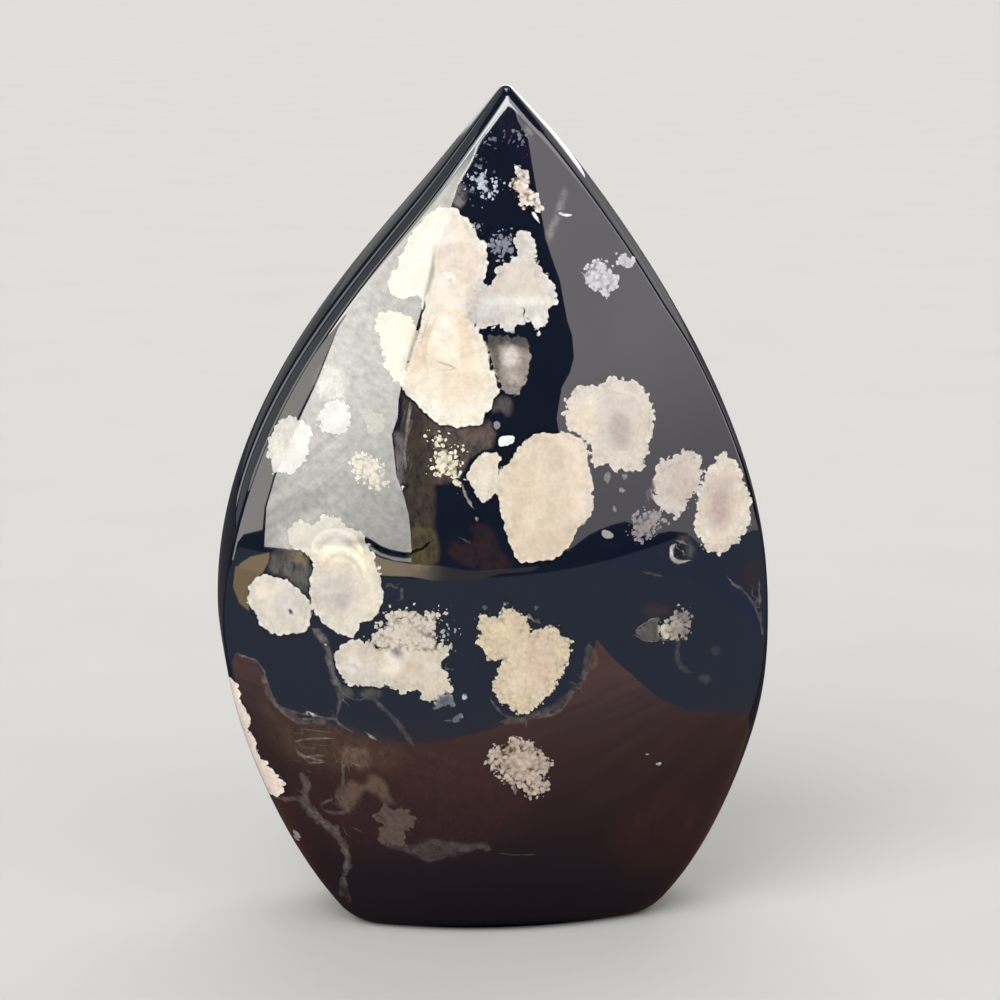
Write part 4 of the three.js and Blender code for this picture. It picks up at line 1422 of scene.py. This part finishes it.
def stone():
    points, faces = stone_surface()
    markings = mark(points)
    mesh = bpy.data.meshes.new("polished_stone")
    mesh.from_pydata((points * METRES).tolist(), [], faces)
    mesh.polygons.foreach_set("use_smooth", np.ones(len(faces), bool))
    for name in ("bloom_and_glint", "dots", "opacity"):
        layer = mesh.attributes.new(name, "FLOAT", "POINT")
        layer.data.foreach_set("value", getattr(markings, name))
    for name in ("outline", "kind", "tint", "vein_and_glint", "crease"):
        layer = mesh.attributes.new(name, "FLOAT_VECTOR", "POINT")
        layer.data.foreach_set("vector", getattr(markings, name).ravel())
    layer = mesh.attributes.new("stain_and_shade", "FLOAT_COLOR", "POINT")
    layer.data.foreach_set("color", markings.unmixed_stain_and_shade().ravel())
    mesh.update()
    piece = bpy.data.objects.new("polished_stone", mesh)
    bpy.context.scene.collection.objects.link(piece)
    mesh.materials.append(agate_material())
    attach(piece, "root")
    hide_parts("agate_freeform")


# Floor, lights and reflections

STONE_MIDDLE = np.array([0.0, 0.0, 45.0])
CARD_DISTANCE = 1200.0
LAYER = 20.0  # between cards that overlap
FINEST_CARD_STEP = 5.0  # degrees
CARD_ROUNDS = 5

# Outlines of what the front face reflects, in picture points. Where an outline goes on beyond the
# front face, its other corners are in degrees, as seen gives them.
WINDOW = [
    (508, 106), (497, 119), (488.5, 131), (481.8, 140), (473, 160), (459, 183), (453, 202), (436, 245),
    (423, 305), (408, 356), (399, 400), (398, 418), (392, 436), (394, 455), (396, 476), (403, 495),
    (408, 514), (410, 533), (411, 550.5), (404, 550.5), (390, 547.5), (380, 543.5), (371, 537.5),
    (366, 535), (355, 538), (330, 548), (300, 550), (265, 547), (267, 508), (277, 474), (301, 417),
    (318, 380), (345, 310),
]
WINDOW_BEYOND = [(-60, 26), (-60, 50), (-20, 60), (9, 60), (9, 42)]
WINDOW_FOOT = [
    (363, 541), (371, 545), (380, 551), (390, 554.5), (404, 557), (411, 556.5), (411, 561), (395, 559),
    (380, 554), (368, 547),
]
WINDOW_EDGE = [
    (508, 106), (503, 111), (496.5, 120), (488.5, 131), (481.8, 139), (477.6, 146), (476.6, 150),
    (472.5, 161), (459, 184), (457, 184), (470.5, 161), (475, 150), (475.5, 146), (479, 139), (483, 131),
    (488, 121), (494, 112), (498, 106), (508, 99), (518, 103), (516, 107),
]
TIP_CAP = [(-30, 38.6), (13, 38.6), (20, 44), (20, 60), (-30, 60)]
LEFT_WALL = [(345, 310), (316, 380), (298, 417), (275, 474), (265, 508), (263, 530)]
LEFT_WALL_BEYOND = [(-60, -1), (-75, 0), (-75, 26), (-60, 26)]
RIGHT_WALL = [
    (515, 110), (518, 121), (528, 140), (532, 166), (536, 190), (541, 215), (546, 241), (552, 258),
    (560, 279), (567, 318), (572, 334), (574, 357), (570, 373), (562, 388), (557, 420), (566, 470),
    (572, 520), (566, 551), (588, 534), (600, 528), (613, 523), (626, 520), (643, 527), (656, 533),
    (671, 530), (687, 532), (694, 538), (701, 545), (719, 559), (740, 565), (753, 570), (763, 582),
]
RIGHT_WALL_BEYOND = [(66, -6), (66, 40), (40, 60), (10, 60), (10, 42)]
RIGHT_TIP = [(517, 106), (526, 112), (538, 126), (545, 138), (537, 142), (528, 134), (519, 119)]
RIGHT_GLEAM = [(62, 4), (76, 4), (76, 50), (56, 50), (56, 30)]
LEFT_GOLD = [(232, 576), (234, 571), (241, 563), (251, 557), (270, 553), (269, 562), (263, 574)]
GOLD_STRIP = [
    (368, 549), (380, 556), (395, 560), (411, 563), (437, 565), (470, 571), (540, 566), (533, 571),
    (501, 574), (482, 580), (456, 582), (431, 580), (412, 576), (380, 574),
]
GOLD_FADE = [(400, 568), (450, 568)]  # the strip fades from the first place to the second
GOLD_GROUND = [
    (233, 566), (263, 569), (263, 574), (254, 582), (249, 590), (250, 612), (240, 604), (233, 587),
]
NEAR_GROUND = [
    (238, 652), (257, 663), (266, 679), (271, 697), (283, 712), (304, 721), (330, 723), (350, 732),
    (378, 740), (462, 736), (508, 722), (559, 710), (580, 685), (597, 640), (633, 675), (656, 695),
    (690, 711), (750, 713),
]
NEAR_GROUND_BACK = [(70, 10), (-70, 10)]  # millimetres

# Outlines of what the bands and the back reflect, in degrees.
TIP_LINE = [(141.5, 20), (165, 4.6), (170, 11), (183, 11), (186, 29), (165, 29), (141.5, 34)]
LEFT_TIP = [(183, 11), (186, 7), (190, 9.3), (199, 17), (205, 21), (205, 34), (186, 29)]
RIGHT_SHADE = [(112, 6), (144, 0), (144, 30), (112, 42)]
RIGHT_DUSK = [(144, 0), (154, 0), (154, 24), (144, 30)]
LEFT_DUSK = [(193, 8), (214, 17), (214, 30), (193, 30)]

# The ground, in millimetres. Its sheets lie just above the floor, and those that overlap lie at
# different heights.
GROUND_REACH = 3000
GROUND_SPLIT = -20
FAR_GROUND_HEIGHT = 0.1
NEAR_GROUND_HEIGHT = 0.2
GOLD_GROUND_HEIGHT = 0.3
FLOOR_REACH = 12000


def rectangle(left, right, low, high):
    return [(left, low), (right, low), (right, high), (left, high)]


def glow(name, colour, pattern=None):
    """A material that shines, with its strength varied by a pattern if one is given."""
    material = bpy.data.materials.new(name)
    n = Nodes(material)
    light = n.node("ShaderNodeEmission")
    n.put(light.inputs["Color"], colour)
    if pattern:
        n.put(light.inputs["Strength"], pattern(n, n.node("ShaderNodeTexCoord").outputs["Object"]))
    n.output(light.outputs[0])
    return material


def sheet(corners):
    """A flat shape through corners, cut into triangles."""
    shape = bmesh.new()
    face = shape.faces.new([shape.verts.new(corner) for corner in corners])
    face.normal_update()
    bmesh.ops.triangulate(shape, faces=[face], ngon_method="EAR_CLIP")
    return shape


def staged(name, shape, material):
    """Puts a shape into the scene beside the object."""
    mesh = bpy.data.meshes.new(name)
    shape.to_mesh(mesh)
    shape.free()
    mesh.materials.append(material)
    piece = bpy.data.objects.new(name, mesh)
    bpy.context.scene.collection.objects.link(piece)
    return piece


def only_reflected(piece):
    """Shows a piece in the polish of the stone and nowhere else."""
    piece.visible_camera = False
    piece.visible_diffuse = False
    piece.visible_transmission = False
    piece.visible_volume_scatter = False
    piece.visible_shadow = False


def level_piece(name, corners, height, material):
    """A level sheet through corners (x, y) in millimetres."""
    return staged(name, sheet([Vector((x, y, height)) * METRES for x, y in corners]), material)


def ground_card(name, corners, height, colour, pattern=None):
    only_reflected(level_piece(name, corners, height, glow(name, colour, pattern)))


def seen(x, y):
    """Where a reflection that shows at a picture point comes from, in degrees to the right of
    straight ahead and above level, seen from the middle of the stone."""
    point, ray = mirrored(x, y)
    start = point - STONE_MIDDLE
    reach = -start @ ray + math.sqrt((start @ ray) ** 2 - start @ start + CARD_DISTANCE**2)
    away = start + reach * ray
    return math.degrees(math.atan2(away[0], -away[1])), math.degrees(math.asin(away[2] / CARD_DISTANCE))


def seen_on_floor(x, y):
    """Where on the floor a reflection that shows at a picture point comes from."""
    point, ray = mirrored(x, y)
    place = point - ray * point[2] / ray[2]
    return place[0], place[1]


def all_seen(outline):
    return [seen(x, y) for x, y in outline]


def all_seen_on_floor(outline):
    return [seen_on_floor(x, y) for x, y in outline]


def card(name, corners, colour, pattern=None, distance=CARD_DISTANCE):
    """A shining sheet on a sphere round the stone, its corners given as seen gives them."""
    shape = sheet([(turn, rise, 0) for turn, rise in corners])
    for _ in range(CARD_ROUNDS):
        long = [edge for edge in shape.edges if edge.calc_length() > FINEST_CARD_STEP]
        bmesh.ops.subdivide_edges(shape, edges=long, cuts=1, use_grid_fill=True)
        bmesh.ops.triangulate(shape, faces=shape.faces)
    for corner in shape.verts:
        turn, rise = math.radians(corner.co[0]), math.radians(corner.co[1])
        level = math.cos(rise)
        away = np.array([math.sin(turn) * level, -math.cos(turn) * level, math.sin(rise)])
        corner.co = Vector(STONE_MIDDLE + away * distance) * METRES
    only_reflected(staged(name, shape, glow(name, colour, pattern)))


def window_pattern(n, place):
    """Brighter above and to the left, with faint slanting streaks."""
    x, _, z = n.parts(place)
    rise = n.linear(n.fade(z, 0.40, 0.05), 7.0, 8.0)
    side = n.linear(n.fade(x, -0.85, -0.30), 0.25, 0.88)
    upper = n.linear(n.fade(z, 0.66, 0.73), 0.62, 0.38)
    slanted = n.scaled(n.turned(place, 26), (2.5, 1.5, 60.0))
    streaky = n.times(n.fade(n.noise(place, 3.0), 0.58, 0.42), 0.50)
    streaks = n.linear(n.waver(slanted, 1.0, 3.0, 0.6), streaky, 1.0)
    threads = n.scaled(place, (26.0, 26.0, 95.0))
    woven = n.linear(n.waver(threads, 1.0, 3.0, 0.7), 0.50, 1.0)
    return n.times(n.times(n.times(n.times(rise, upper), side), streaks), woven)


def wall_pattern(n, place):
    """Dimmer towards the ground and near the top."""
    z = n.parts(place)[2]
    cloud = n.linear(n.waver(place, 3.0, 2.0), 0.08, 1.0)
    top = n.linear(n.fade(z, 0.84, 0.70), 1.1, 1.0)
    return n.times(n.times(n.linear(n.fade(z, 0.42, 0.10), 1.2, 1.7), cloud), top)


def golden_pattern(n, place):
    """Bright at its left end, and a weak brown further right."""
    bounds = [CARD_DISTANCE * METRES * math.sin(math.radians(turn)) for turn, _ in all_seen(GOLD_FADE)]
    bright = n.fade(n.parts(place)[0], *bounds)
    return n.linear(bright, 3.8, 0.5)


def near_ground_pattern(n, place):
    """Dark in the shade of the stone and brighter further away."""
    node = n.node("ShaderNodeVectorMath", operation="LENGTH")
    n.put(node.inputs[0], place)
    bright = n.math("MINIMUM", n.times(n.add(node.outputs["Value"], -0.013), 8.5), 1.5)
    drawn_out = n.scaled(place, (14.0, 90.0, 1.0))
    bands = n.linear(n.waver(drawn_out, 1.0, 4.0, 0.7), 0.55, 1.0)
    return n.times(bright, bands)


def front_cards():
    """What the front face reflects."""
    nearer = CARD_DISTANCE - LAYER
    card("window_card", all_seen(WINDOW) + WINDOW_BEYOND, (1.0, 0.97, 0.88), window_pattern)
    card("window_foot_card", all_seen(WINDOW_FOOT), (5.0, 4.9, 4.4))
    card("window_edge_card", all_seen(WINDOW_EDGE), (17.0, 17.0, 17.0), distance=nearer)
    card("tip_cap_card", TIP_CAP, (17.0, 17.0, 17.5), distance=nearer - LAYER)
    card("left_wall_card", all_seen(LEFT_WALL) + LEFT_WALL_BEYOND, (4.6, 4.3, 3.9))
    card("right_wall_card", all_seen(RIGHT_WALL) + RIGHT_WALL_BEYOND, (1.0, 0.91, 0.91), wall_pattern)
    card("right_tip_card", all_seen(RIGHT_TIP), (2.6, 2.5, 2.6), distance=nearer)
    card("right_gleam_card", RIGHT_GLEAM, (4.5, 4.4, 4.2), distance=nearer)
    card("left_gold_card", all_seen(LEFT_GOLD), (4.1, 3.0, 1.55), distance=nearer)
    card("golden_card", all_seen(GOLD_STRIP), (1.0, 0.78, 0.48), golden_pattern)


def rear_cards():
    """What the bands and the back reflect."""
    further = CARD_DISTANCE + LAYER
    between = CARD_DISTANCE + LAYER / 2
    card("rear_wall_card", rectangle(134, 216, 0, 60), (0.24, 0.24, 0.22), distance=further)
    card("tip_line_card", TIP_LINE, (4.0, 4.0, 3.9))
    card("left_tip_card", LEFT_TIP, (1.9, 1.9, 1.8))
    card("right_shade_card", RIGHT_SHADE, (0.72, 0.70, 0.70), distance=between)
    card("right_dusk_card", RIGHT_DUSK, (0.42, 0.41, 0.41), distance=between)
    card("left_dusk_card", LEFT_DUSK, (0.46, 0.46, 0.43), distance=between)
    card("left_line_card", rectangle(221, 225, 0, 45), (1.3, 1.3, 1.2))
    card("left_shade_card", rectangle(227, 246, 0, 50), (0.45, 0.45, 0.42))
    card("rear_window_card", rectangle(247, 276, 8, 46), (3.0, 3.0, 2.8))
    card("rear_sky_card", rectangle(150, 215, 62, 84), (5.0, 5.0, 4.8))


def ground_cards():
    """The ground that the lower part of the stone reflects."""
    far = rectangle(-GROUND_REACH, GROUND_REACH, -GROUND_REACH, GROUND_SPLIT)
    rear = rectangle(-GROUND_REACH, GROUND_REACH, GROUND_SPLIT, GROUND_REACH)
    near = all_seen_on_floor(NEAR_GROUND) + NEAR_GROUND_BACK
    gold = all_seen_on_floor(GOLD_GROUND)
    ground_card("far_ground_card", far, FAR_GROUND_HEIGHT, (0.31, 0.335, 0.41))
    ground_card("rear_ground_card", rear, FAR_GROUND_HEIGHT, (0.08, 0.07, 0.07))
    ground_card("gold_ground_card", gold, GOLD_GROUND_HEIGHT, (3.4, 2.4, 1.1))
    ground_card("near_ground_card", near, NEAR_GROUND_HEIGHT, (0.92, 0.46, 0.27), near_ground_pattern)


def floor():
    material = bpy.data.materials.new("pale_floor")
    n = Nodes(material)
    shader = n.node("ShaderNodeBsdfPrincipled")
    speck = n.noise(n.node("ShaderNodeTexCoord").outputs["Object"], 30.0, 3.0)
    n.put(shader.inputs["Base Color"], n.blend(speck, (0.60, 0.595, 0.58), (0.64, 0.635, 0.62)))
    shader.inputs["Roughness"].default_value = 0.8
    shader.inputs["Specular IOR Level"].default_value = 0.0
    n.output(shader.outputs[0])
    corners = rectangle(-FLOOR_REACH, FLOOR_REACH, -FLOOR_REACH, FLOOR_REACH)
    level_piece("floor", corners, 0, material).visible_glossy = False


def soft_light(name, turn, rise, strength, spread, colour=(1, 1, 1)):
    """Light from degrees to the right of straight ahead and above level."""
    light = bpy.data.lights.new(name, "SUN")
    light.energy = strength
    light.angle = math.radians(spread)
    light.color = colour
    lamp = bpy.data.objects.new(name, light)
    lamp.rotation_euler = (math.radians(90 - rise), 0, math.radians(turn))
    lamp.visible_glossy = False
    bpy.context.scene.collection.objects.link(lamp)


def lights():
    soft_light("key_light", turn=-35, rise=38, strength=2.0, spread=50, colour=(1.0, 0.99, 0.97))
    soft_light("fill_light", turn=40, rise=30, strength=0.7, spread=60, colour=(1.0, 0.98, 0.96))
    soft_light("back_light", turn=165, rise=45, strength=1.2, spread=60)
    world = bpy.data.worlds.new("soft_room")
    world.use_nodes = True
    background = world.node_tree.nodes["Background"]
    background.inputs["Color"].default_value = (1.0, 1.0, 1.0, 1)
    background.inputs["Strength"].default_value = 0.42
    world.cycles_visibility.glossy = False
    bpy.context.scene.world = world


def camera():
    lens = bpy.data.cameras.new("camera")
    lens.sensor_width = SENSOR
    lens.lens = SENSOR * FOCAL / PICTURE
    lens.clip_start = 0.01
    lens.clip_end = 50
    viewer = bpy.data.objects.new("camera", lens)
    viewer.location = Vector(EYE) * METRES
    viewer.rotation_euler = Vector(-OUT).to_track_quat("-Z", "Y").to_euler()
    bpy.context.scene.collection.objects.link(viewer)
    bpy.context.scene.camera = viewer


camera()
stone()
floor()
lights()
front_cards()
rear_cards()
ground_cards()
bpy.context.scene.view_settings.view_transform = "Standard"
